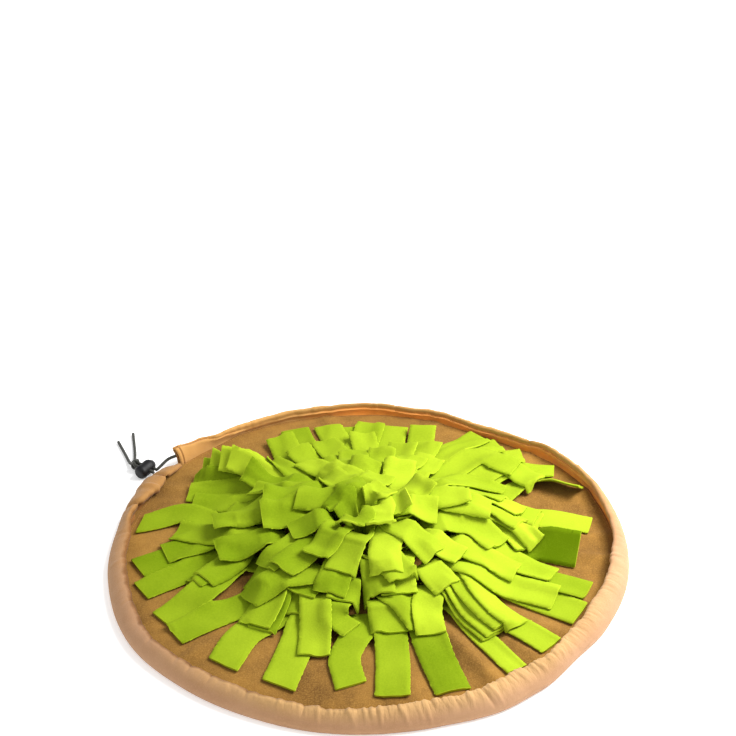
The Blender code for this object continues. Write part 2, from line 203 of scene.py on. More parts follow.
class Nodes:
    """Adds shader nodes in a row and links them, so that each material reads as a short list."""

    def __init__(self, name):
        self.material = bpy.data.materials.new(name)
        self.material.use_nodes = True
        self.tree = self.material.node_tree
        self.shader = self.tree.nodes["Principled BSDF"]
        self.coordinates = self.tree.nodes.new("ShaderNodeTexCoord")

    def feed(self, socket, value):
        """Sets the socket to a number or a colour, or links another node's output to it."""
        if isinstance(value, (float, tuple)):
            socket.default_value = value
        else:
            self.tree.links.new(value, socket)

    def set(self, node, settings):
        """Sets a node's sockets, whose names take _ for a space, and its other settings."""
        for key, value in settings.items():
            socket = key.replace("_", " ")
            if socket in node.inputs.keys():
                node.inputs[socket].default_value = value
            else:
                setattr(node, key, value)

    def add(self, kind, links=None, **settings):
        node = self.tree.nodes.new("ShaderNode" + kind)
        self.set(node, settings)
        for key, source in (links or {}).items():
            self.tree.links.new(source, node.inputs[key])
        return node

    def noise(self, scale, detail=2.0, roughness=0.5, vector=None, stretch=None):
        place = vector or self.coordinates.outputs["Object"]
        if stretch:
            place = self.add("Mapping", {"Vector": place}, Scale=stretch).outputs["Vector"]
        node = self.add("TexNoise", {"Vector": place}, Scale=scale, Detail=detail, Roughness=roughness)
        return node.outputs["Fac"]

    def blend(self, factor, first, second):
        node = self.add("Mix", data_type="RGBA")
        for index, value in ((0, factor), (6, first), (7, second)):
            self.feed(node.inputs[index], value)
        return node.outputs[2]

    def span(self, value, low, high, to_low=0.0, to_high=1.0):
        """Turns low to high into to_low to to_high, and holds the ends beyond them."""
        node = self.add("MapRange", {"Value": value}, From_Min=low, From_Max=high, To_Min=to_low,
                        To_Max=to_high)
        return node.outputs["Result"]

    def combine(self, operation, first, others):
        for other in others:
            node = self.add("Math", {0: first}, operation=operation)
            self.feed(node.inputs[1], other)
            first = node.outputs["Value"]
        return first

    def sum(self, first, *others):
        return self.combine("ADD", first, others)

    def product(self, first, *others):
        return self.combine("MULTIPLY", first, others)

    def bump(self, height, distance, strength=1.0, under=None):
        node = self.add("Bump", {"Height": height}, Distance=distance, Strength=strength)
        if under:
            self.feed(node.inputs["Normal"], under)
        return node.outputs["Normal"]

    def finish(self, colour, normal, **settings):
        self.feed(self.shader.inputs["Base Color"], colour)
        self.feed(self.shader.inputs["Normal"], normal)
        self.set(self.shader, settings)
        return self.material


# %% [markdown]
# ## Fleece
# Polar fleece is a knit whose face is brushed up into a short, dense nap. It has no gloss. Its nap catches
# light at grazing angles, which a sheen layer gives, and its surface is pebbled at about a millimetre. It
# looks pale along the way its nap lies, and dark against it, so every strip carries a number for how pale
# it is. That number also holds painted light and shade: strips in the light are painted paler and those in
# shade darker, and the cut edges get a painted highlight.


# %% The fleece material
def fleece_material():
    nodes = Nodes("fleece_lime")
    drift = nodes.noise(22, 2.0)
    nap = nodes.noise(1500, 2.0, 0.7)
    pebble = nodes.noise(620, 3.0, 0.6)
    # How pale each strip is, from its nap and from painted light, shade and edge highlights.
    nap_and_painted_light = nodes.add("Attribute", attribute_name="nap").outputs["Fac"]
    slow, quick = nodes.span(drift, 0.3, 0.7, -0.1, 0.1), nodes.span(pebble, 0.35, 0.85, -0.05, 0.12)
    fine = nodes.blend(nodes.sum(nap_and_painted_light, slow, quick), screen(93, 119, 0), screen(172, 194, 42))
    height = nodes.sum(nodes.product(nap, 0.6), pebble)
    return nodes.finish(fine, nodes.bump(height, 0.0004, 0.45), Roughness=0.95, Sheen_Weight=0.12,
                        Sheen_Roughness=0.5, Sheen_Tint=screen(214, 240, 40), Specular_IOR_Level=0.08)


# %% [markdown]
# ## Woven cloth
# Both tan cloths are plain weaves. A plain weave is two sets of threads that pass over and under each
# other, so two crossed sets of waves, one along each direction of the cloth, give its relief. The waves
# read the piece's own UV map, which is laid out in metres along the cloth, so the threads follow every
# fold.

# %% The woven materials
Weave = namedtuple("Weave", "dark light fleck pitch sheen roughness")
DISC_WEAVE = Weave(screen(102, 68, 20), screen(156, 113, 46), screen(186, 142, 68), 0.55 * MM, 0.04, 0.9)
CASING_WEAVE = Weave(screen(170, 126, 87), screen(188, 145, 107), screen(194, 150, 112), 0.45 * MM, 0.12,
                     0.75)
# A wave texture of scale 1 repeats after this many metres.
WAVE_REPEAT = 0.31


def woven_material(name, weave, tints=None, crinkle=None):
    nodes = Nodes(name)
    cloth = nodes.coordinates.outputs["UV"]
    waves = []
    for direction in ("X", "Y"):
        wave = nodes.add("TexWave", {"Vector": cloth}, bands_direction=direction, wave_profile="SIN",
                         Scale=WAVE_REPEAT / weave.pitch, Distortion=1.2, Detail=1.0)
        waves.append(wave.outputs["Fac"])
    slub = nodes.noise(420, 2.0, stretch=(1.0, 0.25, 1.0))
    drift = nodes.noise(11, 3.0)
    mottle = nodes.noise(55, 3.0, 0.6)
    tone = nodes.sum(nodes.product(drift, 0.6), nodes.product(mottle, 0.3), nodes.product(slub, 0.1))
    colour = nodes.blend(nodes.span(tone, 0.35, 0.65), weave.dark, weave.light)
    grain = nodes.noise(820, 3.0, 0.75)
    colour = nodes.blend(nodes.span(grain, 0.46, 0.74, 0.0, 0.6), colour, weave.fleck)
    for share, tint in tints(nodes, mottle) if tints else ():
        colour = nodes.blend(share, colour, tint)
    normal = nodes.bump(nodes.sum(mottle, nodes.noise(24, 2.0)), 0.0016, 0.35)
    if crinkle:
        normal = nodes.bump(crinkle(nodes), 0.0035, 0.7, under=normal)
    relief = nodes.sum(nodes.product(nodes.sum(*waves), 0.5), nodes.product(slub, 0.7))
    return nodes.finish(colour, nodes.bump(relief, 0.00022, 0.5, under=normal), Roughness=weave.roughness,
                        Sheen_Weight=weave.sheen, Sheen_Roughness=0.5, Specular_IOR_Level=0.25)


# %% [markdown]
# ## The casing's tints, mostly painted light and shade
# Light and shade are painted into the casing's cloth as tints over its plain colour. It gets painted shade,
# golden, at its left end, painted warm light, yellower, at the right and the back, and painted light along
# its top in front. Its inner face gets painted brown shade at the left and a painted warm orange glow
# further on, as if light came through the thin cloth, and painted shade darkens the cloth down by the seam.
# The tab is painted paler, and its hem ends in a dark line. Each tint is blended over the plain cloth
# between two places along the casing, from its left end, or across it, from its foot.

# %% Where each tint shows
# Tints of painted light and shade, and the colour of the hem's dark line.
PAINTED_SHADE_GOLD = screen(164, 117, 56)
PAINTED_WARM_LIGHT_YELLOW = screen(190, 142, 74)
PAINTED_TOP_LIGHT = screen(200, 160, 98)
SHADE_AND_HEM_BROWN = screen(128, 80, 24)
PAINTED_GAP_SHADE = screen(72, 40, 10)
PAINTED_GLOW_ORANGE = screen(250, 158, 66)
PAINTED_LIGHT_TAB = screen(206, 154, 86)


def casing_place(nodes):
    """How far along and across the casing a point lies, in metres."""
    place = nodes.add("SeparateXYZ", {"Vector": nodes.coordinates.outputs["UV"]})
    return place.outputs["X"], place.outputs["Y"]


def casing_tints(nodes, mottle):
    """How strongly each tint shows, from 0 to 1, in the order in which they are laid over each other. All
    but the hem's dark line are painted light or shade.
    """
    along, across = casing_place(nodes)
    ragged = nodes.sum(across, nodes.product(mottle, 0.006))
    # Painted shade under the top edge and down by the seam.
    shade_under_edge = nodes.product(nodes.span(ragged, 0.029, 0.036), nodes.span(along, 0.12, 0.26))
    shade_at_seam = nodes.span(ragged, 0.045, 0.049)
    spans = [
        # Painted shade: golden at the left end, which faces away from the light.
        (PAINTED_SHADE_GOLD, nodes.span(along, 0.10, 0.28, 0.85, 0.0)),
        # Painted light: yellower at the right and the back, as if light came through the thin cloth.
        (PAINTED_WARM_LIGHT_YELLOW, nodes.span(along, 0.92, 1.10, 0.0, 0.85)),
        # Painted light: paler along the top in front.
        (PAINTED_TOP_LIGHT, nodes.span(across, 0.012, 0.024, 0.0, 0.6), nodes.span(along, 0.32, 0.46),
         nodes.span(along, 0.74, 0.90, 1.0, 0.0)),
        # Painted shade: brown on the inner face at the left.
        (SHADE_AND_HEM_BROWN, nodes.span(ragged, 0.0295, 0.0325), nodes.span(along, 0.40, 0.60, 0.9, 0.0)),
        # Painted shade: darkest in the gap under the edge and at the seam.
        (PAINTED_GAP_SHADE, nodes.sum(shade_under_edge, shade_at_seam), nodes.span(along, 0.46, 0.60, 0.85, 0.0)),
        # Painted light: a warm orange glow on the inner face, as if light came through the thin cloth.
        (PAINTED_GLOW_ORANGE, nodes.span(across, 0.029, 0.042), nodes.span(along, 0.40, 0.60),
         nodes.span(along, 1.34, 1.42, 1.0, 0.0)),
        # Painted light: the tab is painted paler.
        (PAINTED_LIGHT_TAB, nodes.span(across, 0.020, 0.028), nodes.span(along, 1.38, 1.48)),
        # The tab's hem ends in a dark line.
        (SHADE_AND_HEM_BROWN, nodes.span(along, 1.5594, 1.5602), nodes.span(along, 1.5614, 1.5622, 0.8, 0.0)),
    ]
    return [(nodes.product(*shares), tint) for tint, *shares in spans]


def casing_crinkle(nodes):
    """Fine crinkles that run across the upper part of the casing, deepest in front."""
    along, across = casing_place(nodes)
    crinkle = nodes.noise(1.0, 3.0, 0.6, vector=nodes.coordinates.outputs["UV"], stretch=(170, 55, 1))
    return nodes.product(crinkle, nodes.span(across, 0.010, 0.025), nodes.span(along, 0.36, 0.50),
                         nodes.span(along, 0.74, 0.90, 1.0, 0.15), nodes.span(along, 1.3, 1.4, 1.0, 0.0))


# %% Materials for the cords and the lock
def braid_material():
    """Tight braid: a fine uneven grain, a little paler on its raised threads."""
    nodes = Nodes("cord_black")
    ridges = nodes.noise(1500, 2.0, 0.6)
    coarse = nodes.noise(420, 1.0)
    colour = nodes.blend(nodes.span(ridges, 0.35, 0.7), screen(18, 19, 14), screen(52, 54, 42))
    height = nodes.sum(ridges, nodes.product(coarse, 0.8))
    return nodes.finish(colour, nodes.bump(height, 0.0004, 0.7), Roughness=0.75, Sheen_Weight=0.2)


def lock_material():
    nodes = Nodes("lock_plastic")
    grain = nodes.noise(1100, 2.0)
    colour = nodes.blend(nodes.span(grain, 0.3, 0.7), screen(5, 5, 8), screen(12, 12, 17))
    return nodes.finish(colour, nodes.bump(grain, 0.0001, 0.35), Roughness=0.5, Specular_IOR_Level=0.3)


FLEECE = fleece_material()
DISC_CLOTH = woven_material("disc_cloth", DISC_WEAVE)
CASING_CLOTH = woven_material("casing_cloth", CASING_WEAVE, casing_tints, casing_crinkle)
CORD = braid_material()
PLASTIC = lock_material()
print("materials", [material.name for material in (FLEECE, DISC_CLOTH, CASING_CLOTH, CORD, PLASTIC)])

# %% [markdown]
# ## The drawstring
# Both ends of the drawstring leave the casing at the back left, run through the lock side by side, are tied
# in one knot and end in two loose tails on the floor. The route repeats the solids' own. A limp braided
# cord has no sharp corner, so each route is one smooth curve.

# %% The cord's route
CORD_WIDTH = 3.3 * MM
LOCK_CENTRE = np.array([-231.2, 133.5, 7.5]) * MM
LOCK_TURN = math.radians(59.0)
LOCK_RADIUS = 7.5 * MM
TAB_BORE = 5.9 * MM
LEFT_BORE = 0.3 * MM
KNOT_OUT = 14.9 * MM
KNOT_ALONG = 3.6 * MM
BARREL = np.array([math.cos(LOCK_TURN), math.sin(LOCK_TURN), 0.0])
INWARD = np.array([BARREL[1], -BARREL[0], 0.0])
UP = np.array([0.0, 0.0, 1.0])


def lock_point(inward, along, height=0.0):
    """A place by the lock: inward towards the casing, along its barrel, and above its middle."""
    return CENTRE + LOCK_CENTRE + inward * INWARD + along * BARREL + height * UP


def placed(*rows):
    return [CENTRE + np.array(row) * MM for row in rows]


def through_lock(bore, entry_height, knot_height):
    """Straight through one of the lock's bores, and on into the knot."""
    return [lock_point(LOCK_RADIUS + 4 * MM, bore, entry_height), lock_point(LOCK_RADIUS + 1 * MM, bore),
            lock_point(0, bore), lock_point(-10.1 * MM, bore),
            lock_point(-KNOT_OUT, KNOT_ALONG, knot_height)]


TAB_ROUTE = (
    placed((-199.0, 147.6, 14.5), (-208.0, 144.5, 12.0)) + through_lock(TAB_BORE, 0, 1 * MM)
    + placed((-243.1, 150.0, 5.2), (-245.5, 158.0, 2.8), (-248.0, 176.0, 1.9), (-255.0, 213.0, 1.8))
)
LEFT_ROUTE = (
    through_lock(LEFT_BORE, -1.2 * MM, -1.5 * MM)
    + placed((-246.6, 147.1, 5.2), (-251.0, 155.0, 2.8), (-258.0, 172.0, 1.9), (-269.0, 197.0, 1.8))
)


# %% The cords
CORD_STEP = 3.0 * MM


def curve_object(name, lines):
    """A curve with one straight-sided spline along each line of points."""
    data = bpy.data.curves.new(name, "CURVE")
    data.dimensions = "3D"
    for line in lines:
        spline = data.splines.new("POLY")
        spline.points.add(len(line) - 1)
        for target, point in zip(spline.points, line):
            target.co = (*point, 1.0)
    return new_object(name, data)


def add_cord(name, route):
    points = smooth_curve(route, CORD_STEP)
    cord = curve_object(name, [points])
    cord.data.bevel_depth = CORD_WIDTH / 2
    cord.data.bevel_resolution = 4
    cord.data.use_fill_caps = True
    cord.data.materials.append(CORD)
    return cord, points


tab_cord, tab_points = add_cord("drawstring_tab_end", TAB_ROUTE)
left_cord, left_points = add_cord("drawstring_left_end", LEFT_ROUTE)
print("cord lengths", round(length_of(tab_points), 3), round(length_of(left_points), 3))

# %% [markdown]
# ## The knot
# Both cords are tied together in one overhand knot. From outside such a knot is two or three turns of
# doubled cord wound round each other, so it is made of short closed turns that lie round the cords' own
# direction.


# %% The knot
# Shift and radius are in millimetres, and tip and lean in degrees. Squash scales a turn across its axis.
Turn = namedtuple("Turn", "shift radius squash tip lean")
KNOT_TURNS = rows_of(
    Turn, (-2.9, 3.5, 0.95, 14, 8), (0.2, 4.0, 1.0, -22, 18), (3.2, 3.4, 0.9, 26, -12),
    (0.4, 3.1, 1.15, 68, 30),
)
TURN_STEPS = 26
TURN_SIDES = 10
TURN_TWIST = 0.5 * MM
# Cord that is pulled tight in a knot is a little thinner.
TIGHT = 0.96


def knot_turns():
    """Closed turns of cord round the knot's middle, each tipped its own way."""
    middle = lock_point(-KNOT_OUT, KNOT_ALONG, -0.9 * MM)
    angle = 2 * math.pi * np.arange(TURN_STEPS)[:, None] / TURN_STEPS
    parts = []
    for turn in KNOT_TURNS:
        tip, lean = math.radians(turn.tip), math.radians(turn.lean)
        axis = math.cos(tip) * BARREL + math.sin(tip) * (math.cos(lean) * INWARD + math.sin(lean) * UP)
        first = unit(np.cross(axis, UP))
        out = np.cos(angle) * first + turn.squash * np.sin(angle) * np.cross(axis, first)
        around = middle + turn.shift * MM * BARREL + turn.radius * MM * out
        around = around + TURN_TWIST * np.sin(2 * angle) * axis
        parts.append(closed_tube(around, TIGHT * CORD_WIDTH / 2, TURN_SIDES))
    return parts


def closed_tube(centres, radius, sides):
    """Points and faces of a tube that runs round a closed line."""
    along = unit(np.roll(centres, -1, axis=0) - np.roll(centres, 1, axis=0))
    out = centres - centres.mean(axis=0)
    out = unit(out - (out * along).sum(axis=1, keepdims=True) * along)
    side = np.cross(along, out)
    angle = 2 * math.pi * np.arange(sides)[None, :, None] / sides
    points = centres[:, None] + radius * (np.cos(angle) * out[:, None] + np.sin(angle) * side[:, None])
    return points.reshape(-1, 3), flipped(tube_faces(len(centres), sides, closed=True))


def join_parts(parts):
    """One list of points and faces from several."""
    points, faces = [], []
    for more_points, more_faces in parts:
        start = len(points)
        points.extend(more_points)
        faces.extend([tuple(start + corner for corner in face) for face in more_faces])
    return points, faces


knot = add_mesh("tied_knot", *join_parts(knot_turns()), CORD)
print("knot triangles", triangles(knot))

# %% [markdown]
# ## The cord lock
# A barrel lock is a moulded shell with a sprung plunger. Its button stands out at one end, and the cords
# cross it through two holes. The shell is a turned shape, so its profile is spun round the barrel's axis.

# %% The cord lock
# The profile in millimetres, from the closed end to the button.
Station = namedtuple("Station", "along radius")
LOCK_PROFILE = rows_of(
    Station, (-10.5, 0.0), (-10.5, 3.6), (-10.1, 5.0), (-9.2, 6.2), (-7.8, 7.0), (-6.0, 7.45),
    (-3.0, 7.2), (0.5, 7.15), (3.0, 7.3), (6.0, 7.5), (8.2, 7.2), (9.6, 6.5), (10.3, 5.9), (10.5, 5.6),
    (10.2, 5.5), (10.2, 5.2), (10.6, 5.2), (11.9, 5.0), (12.7, 4.4), (13.0, 3.4), (13.0, 0.0),
)
LOCK_SIDES = 40
LOCK_CREASE = 42
LOCK_FLAT = -7.45 * MM
HOLE_WIDTH = 4.0 * MM


def lock_shell():
    """The profile spun round the barrel's axis, and flattened a little where the lock lies on the floor."""
    points = []
    for station in LOCK_PROFILE:
        radius = max(station.radius, 0.001) * MM
        for side in range(LOCK_SIDES):
            angle = 2 * math.pi * side / LOCK_SIDES
            up = max(radius * math.sin(angle), LOCK_FLAT)
            points.append(lock_point(radius * math.cos(angle), station.along * MM, up))
    last = (len(LOCK_PROFILE) - 1) * LOCK_SIDES
    ends = [tuple(reversed(range(LOCK_SIDES))), tuple(last + side for side in range(LOCK_SIDES))]
    return points, tube_faces(len(LOCK_PROFILE), LOCK_SIDES) + ends


def drill(piece, along):
    """Cuts a hole across the barrel for one cord."""
    bm = bmesh.new()
    bmesh.ops.create_cone(bm, cap_ends=True, segments=28, radius1=HOLE_WIDTH / 2, radius2=HOLE_WIDTH / 2,
                          depth=4 * LOCK_RADIUS)
    mesh = bpy.data.meshes.new("drill")
    bm.to_mesh(mesh)
    bm.free()
    cutter = new_object("drill", mesh)
    cutter.location = lock_point(0, along)
    cutter.rotation_euler = (math.radians(90), 0.0, LOCK_TURN)
    piece.modifiers.new("hole", "BOOLEAN").object = cutter
    bpy.context.view_layer.update()
    settle_modifiers(piece)
    bpy.data.objects.remove(cutter)


def clean_mesh(piece):
    bm = bmesh.new()
    bm.from_mesh(piece.data)
    bmesh.ops.remove_doubles(bm, verts=bm.verts, dist=0.02 * MM)
    bmesh.ops.recalc_face_normals(bm, faces=bm.faces)
    bm.to_mesh(piece.data)
    bm.free()
    piece.data.shade_smooth()
    piece.data.set_sharp_from_angle(angle=math.radians(LOCK_CREASE))


lock = add_mesh("barrel_lock", *lock_shell(), PLASTIC, smooth_angle=LOCK_CREASE)
clean_mesh(lock)
for bore in (TAB_BORE, LEFT_BORE):
    drill(lock, bore)
clean_mesh(lock)
print("lock triangles", triangles(lock))

for piece, slot, node in ((knot, "cord_black", "cord_knot"), (lock, "lock_plastic", "cord_lock")):
    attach(piece, BODY)
    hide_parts(node)
for cord, points, nodes_replaced, exit_at in (
    (tab_cord, tab_points, ("cord_from_tab", "cord_tail_back"), TAB_ROUTE[0]),
    (left_cord, left_points, ("cord_from_left", "cord_tail_out"), LEFT_ROUTE[0]),
):
    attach(cord, BODY)
    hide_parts(*nodes_replaced)
    tuple(exit_at)
    length_of(points)

# %% [markdown]
# ## The outline and the casing's stance
# The foot of the casing draws a circle that is a few millimetres out of true, as cloth lies. Going round
# it, the casing stands almost upright at the back, and leans in over the disc at the left, the front and
# the right. Two tables hold this, and everything near the edge reads them. Angles are degrees,
# anticlockwise from the right.

# %% Tables for the edge
# Radii are in millimetres.
Outline = namedtuple("Outline", "angle radius")
OUTLINE = rows_of(
    Outline, (0, 252), (18, 252), (30, 249), (46, 238), (58, 237), (75, 242), (90, 246), (120, 251),
    (135, 247), (144, 248), (148, 254), (153, 257), (161, 251), (176, 246), (190, 247), (215, 251),
    (230, 249), (243, 249), (262, 251), (283, 251), (296, 254), (305, 252), (318, 247), (328, 250),
    (345, 252), (360, 252),
)
# All but the angles are in millimetres. Pucker is the depth of the gathers, and pitch is their spacing.
Stand = namedtuple("Stand", "angle lean height thickness pucker pitch")
CASING = rows_of(
    Stand, (144, 9, 8, 4.0, 0.3, 12), (148, 19, 12, 5.2, 0.5, 12), (153, 24, 15, 6.2, 0.7, 14),
    (161, 20, 18, 7.0, 0.6, 18), (175, 17, 19, 7.0, 0.5, 20), (200, 18, 19, 7.0, 0.5, 18),
    (218, 13, 19, 7.0, 0.6, 16), (240, 14, 19, 7.5, 0.8, 13), (262, 13, 18, 7.5, 1.2, 8),
    (285, 16, 19, 7.5, 1.5, 7), (300, 19, 19, 7.5, 1.5, 7), (318, 15, 19, 7.5, 1.3, 7),
    (330, 20, 20, 7.5, 1.1, 8), (345, 17, 20, 7.5, 0.9, 9), (360, 14, 21, 7.0, 0.8, 11),
    (390, 8, 21, 7.0, 0.8, 13), (407, 4, 19, 7.0, 0.8, 14), (420, 4, 17, 7.0, 0.8, 14),
    (450, 6, 18, 7.0, 0.7, 15), (480, 10, 18, 7.0, 0.6, 17), (490, 6, 18, 6.5, 0.4, 20),
    (497, -4, 20, 6.4, 0.2, 24), (503, -13, 22, 6.4, 0.1, 30),
)
CASING_START, CASING_END = CASING[0].angle, CASING[-1].angle


def eased(rows, column, at):
    """A table's column at any angle, eased from row to row. Sizes come back in metres."""
    keys = np.array([row.angle for row in rows], float)
    values = np.array([getattr(row, column) for row in rows], float) * MM
    at = np.asarray(at, float)
    index = np.clip(np.searchsorted(keys, at, side="right") - 1, 0, len(keys) - 2)
    share = np.clip((at - keys[index]) / (keys[index + 1] - keys[index]), 0, 1)
    share = share * share * (3 - 2 * share)
    return values[index] + share * (values[index + 1] - values[index])


def foot_radius(angle):
    return eased(OUTLINE, "radius", np.asarray(angle, float) % 360)


# The disc ends this far inside the casing's inner face.
DISC_INSIDE = 0.4 * MM


def disc_radius(angle):
    """The seam between disc and casing, just inside the casing's foot."""
    angle = np.asarray(angle, float) % 360
    along = np.where(angle >= CASING_START, angle, angle + 360)
    lean = np.maximum(eased(CASING, "lean", along), 0)
    return foot_radius(angle) - 0.16 * lean - eased(CASING, "thickness", along) - DISC_INSIDE


# %% [markdown]
# ## Gathers
# The casing is longer than the seam it is drawn along, so it puckers. Between two creases the cloth puffs
# out, and the creases themselves are sharp. A smooth noise that is folded at its middle value gives just
# that: rounded puffs that meet in sharp valleys. The noise is stretched down the cloth, as the creases run.


# %% Noise over a surface
MID_RADIUS = 250 * MM


def lattice_noise(u, v, seed):
    """Smooth noise from 0 to 1 at the places u and v, which may be arrays."""
    u, v = np.broadcast_arrays(np.asarray(u, float), np.asarray(v, float))
    grid = np.random.default_rng(seed).uniform(0, 1, (256, 256))
    i, j = np.floor(u).astype(int), np.floor(v).astype(int)
    a, b = u - i, v - j
    a, b = a * a * (3 - 2 * a), b * b * (3 - 2 * b)

    def at(di, dj):
        return grid[(i + di) % 256, (j + dj) % 256]

    return (at(0, 0) * (1 - a) + at(1, 0) * a) * (1 - b) + (at(0, 1) * (1 - a) + at(1, 1) * a) * b


def puffs(u, v, seed):
    """Rounded puffs between sharp creases, from 0 in a crease to 1."""
    value = np.abs(2 * lattice_noise(u, v, seed) - 1)
    return np.clip(1.25 * value, 0, 1) ** 0.6


# %% [markdown]
# ## The main creases
# The longest creases start at the casing's top edge and slant down its outer face. Each has a row: the
# angle where it starts, how far it slants, what share of the way down it reaches, its height, and how wide
# it is. A height below zero is a trough. The shorter ones between them come from the noise.

# %% The main creases
Crease = namedtuple("Crease", "angle slant reach height width", defaults=(1.9,))
CREASES = rows_of(
    Crease, (151, 3, 1.2, -3.8, 5), (157, 5, 1.2, 2.6, 5), (165, 6, 1.2, -4.2, 5), (178, -3, 0.7, -0.8),
    (189, 2, 0.9, 0.8, 3), (204, 2, 0.5, -1.1), (218, 2, 0.4, -1.3), (226.5, 3, 0.4, -1.5),
    (230.5, 3, 0.4, -1.0), (236, 2, 0.5, -0.9), (245, 2, 0.5, -1.1), (252, 2, 0.8, 0.7, 3),
    (257, 3, 0.7, -0.9), (260, 3, 1.0, 0.9), (263, 2, 0.5, -1.0), (266, 10, 1.1, 1.1), (269, 6, 0.9, 1.1),
    (270.4, 4, 0.6, 0.9), (272, 2, 1.0, 1.0), (274, 4, 0.6, 0.8), (276, 9, 1.1, 1.2, 2.2),
    (278, 4, 0.6, 0.9), (279.4, 5, 0.9, 1.0), (281, 4, 1.1, 1.2), (283, 4, 0.5, 0.9), (285, 9, 0.7, 1.0),
    (287, 5, 0.7, -1.3, 2.2), (290, 4, 0.6, 1.0), (293, 9, 1.0, -1.7, 2.4), (294.7, 9, 1.0, 1.3),
    (297, 5, 0.6, 1.0), (299, 5, 0.5, -1.0), (302, 12, 0.6, 1.0), (304, 9, 0.5, -0.9),
    (307, 10, 0.7, 1.0), (311, 8, 0.5, -0.9), (313, 9, 0.6, 0.9), (317, 8, 0.8, -1.0), (321, 6, 0.5, 0.8),
    (327, 8, 0.6, -0.8), (336, 6, 0.6, -0.9), (342, 7, 0.5, 0.8), (349, 7, 0.7, 0.9), (356, 6, 0.6, -0.9),
    (368, 5, 0.8, -0.8, 3), (385, 4, 0.9, 0.8, 3), (401, 4, 0.7, -0.9), (420, 3, 0.9, 0.8, 3),
    (441, -3, 0.8, -0.8, 3), (463, -4, 0.9, 0.7, 3), (481, -3, 0.7, -0.7),
)
# At this share of its width to each side, a crease has fallen to about a third.
CREASE_SHARE = 0.72
# The share of the casing's section, from its foot, at which the top edge comes.
TOP_SHARE = 0.45


def main_creases(angle, share):
    """How far the main creases stand out from the smooth section."""
    arc = np.radians(angle)[:, None] * MID_RADIUS
    down = np.abs(1 - share / TOP_SHARE)[None, :]
    total = np.zeros((len(angle), len(share)))
    for crease in CREASES:
        middle = math.radians(crease.angle) * MID_RADIUS + crease.slant * MM * down
        profile = np.exp(-(((arc - middle) / (CREASE_SHARE * crease.width * MM)) ** 2))
        total += crease.height * MM * profile * (1 - ramp(0.25 * crease.reach, 0.85 * crease.reach, down))
    return total


# %% [markdown]
# ## The casing
# In section the casing is a loop of cloth: up the outer face from the foot, over the top edge and down the
# inner face to the seam. The loop is drawn through a few points worked out from the lean, the height and
# the thickness, smoothed, and swept round the edge, and its left end tapers. Creases then push it in and
# out, and a wall gives the cloth its thickness, so the tab's mouth is open.

# %% The casing's section
# Points up the outer face, as shares of the lean and the height.
Face = namedtuple("Face", "inward up")
CASING_FACE = rows_of(
    Face, (0.16, 0.00), (0.00, 0.28), (0.14, 0.58), (0.44, 0.84), (0.80, 0.97), (1.00, 0.90),
)
# From this share of the lean on, the outer face turns in by the least hook or more, but not at the flat tab.
HOOK_FROM = 0.44
LEAST_HOOK = 8 * MM
FLAT_TAB = (484, 494)
LOOP_POINTS = 36
# How many stations each gather gets, and how close together they may be.
GATHER_STATIONS = 8.5
LEAST_STATION = 1.05 * MM


def slope_share(angle):
    """1 at the back left, where the inner face slopes down to the disc in plain view, and 0 past it."""
    return 1 - ramp(164, 180, angle)


def slope_out(angle):
    """How far that slope brings the seam in from the casing's foot."""
    return 0.45 * eased(CASING, "lean", angle) * slope_share(angle)


def casing_stations():
    """Angles along the casing, closer together where it is gathered finely."""
    angle = [CASING_START]
    while angle[-1] < CASING_END:
        step = max(float(eased(CASING, "pitch", angle[-1])) / GATHER_STATIONS, LEAST_STATION)
        angle.append(angle[-1] + math.degrees(step / MID_RADIUS))
    angle = np.array(angle)
    return CASING_START + (angle - CASING_START) * (CASING_END - CASING_START) / (angle[-1] - CASING_START)


def section_knots(angle):
    """The loop's knots in radius and height, for many angles at once: angles, knots, 2."""
    foot = foot_radius(angle)[:, None]
    lean = eased(CASING, "lean", angle)[:, None]
    height = eased(CASING, "height", angle)[:, None]
    flat = ramp(*FLAT_TAB, angle)[:, None]
    thickness = (eased(CASING, "thickness", angle)[:, None] * (1 - 0.45 * flat))[:, None]
    inward, up = np.array(CASING_FACE).T
    hook = np.maximum(lean, LEAST_HOOK * (1 - flat))
    hook = hook * (1 - 0.6 * slope_share(angle) * ramp(158, 174, angle))[:, None]
    inward = np.minimum(inward, HOOK_FROM) * lean + np.maximum(inward - HOOK_FROM, 0) * hook
    inward[:, 0] = np.maximum(inward[:, 0], 0)
    outer = np.stack([foot - inward, up * height], axis=2)
    along = np.empty_like(outer)
    along[:, 1:-1] = outer[:, 2:] - outer[:, :-2]
    along[:, 0] = outer[:, 1] - outer[:, 0]
    along[:, -1] = outer[:, -1] - outer[:, -2]
    inner = outer + thickness * crosswise(along)
    inner[:, 0] = outer[:, 0] + np.array([-1.0, 0.0]) * thickness[:, 0]
    inner[:, -1] = outer[:, -1] + np.array([0.1, -0.62]) * thickness[:, 0]
    inner[:, -2] = (inner[:, -1] + inner[:, -3]) / 2
    inner[:, :, 0] -= slope_out(angle)[:, None] * np.clip(1 - 1.1 * up, 0, 1)
    return np.concatenate([outer, inner[:, ::-1]], axis=1)


def crosswise(along):
    """Unit vectors a quarter turn to the left of these plane ones."""
    along = unit(along)
    return np.stack([-along[..., 1], along[..., 0]], axis=-1)


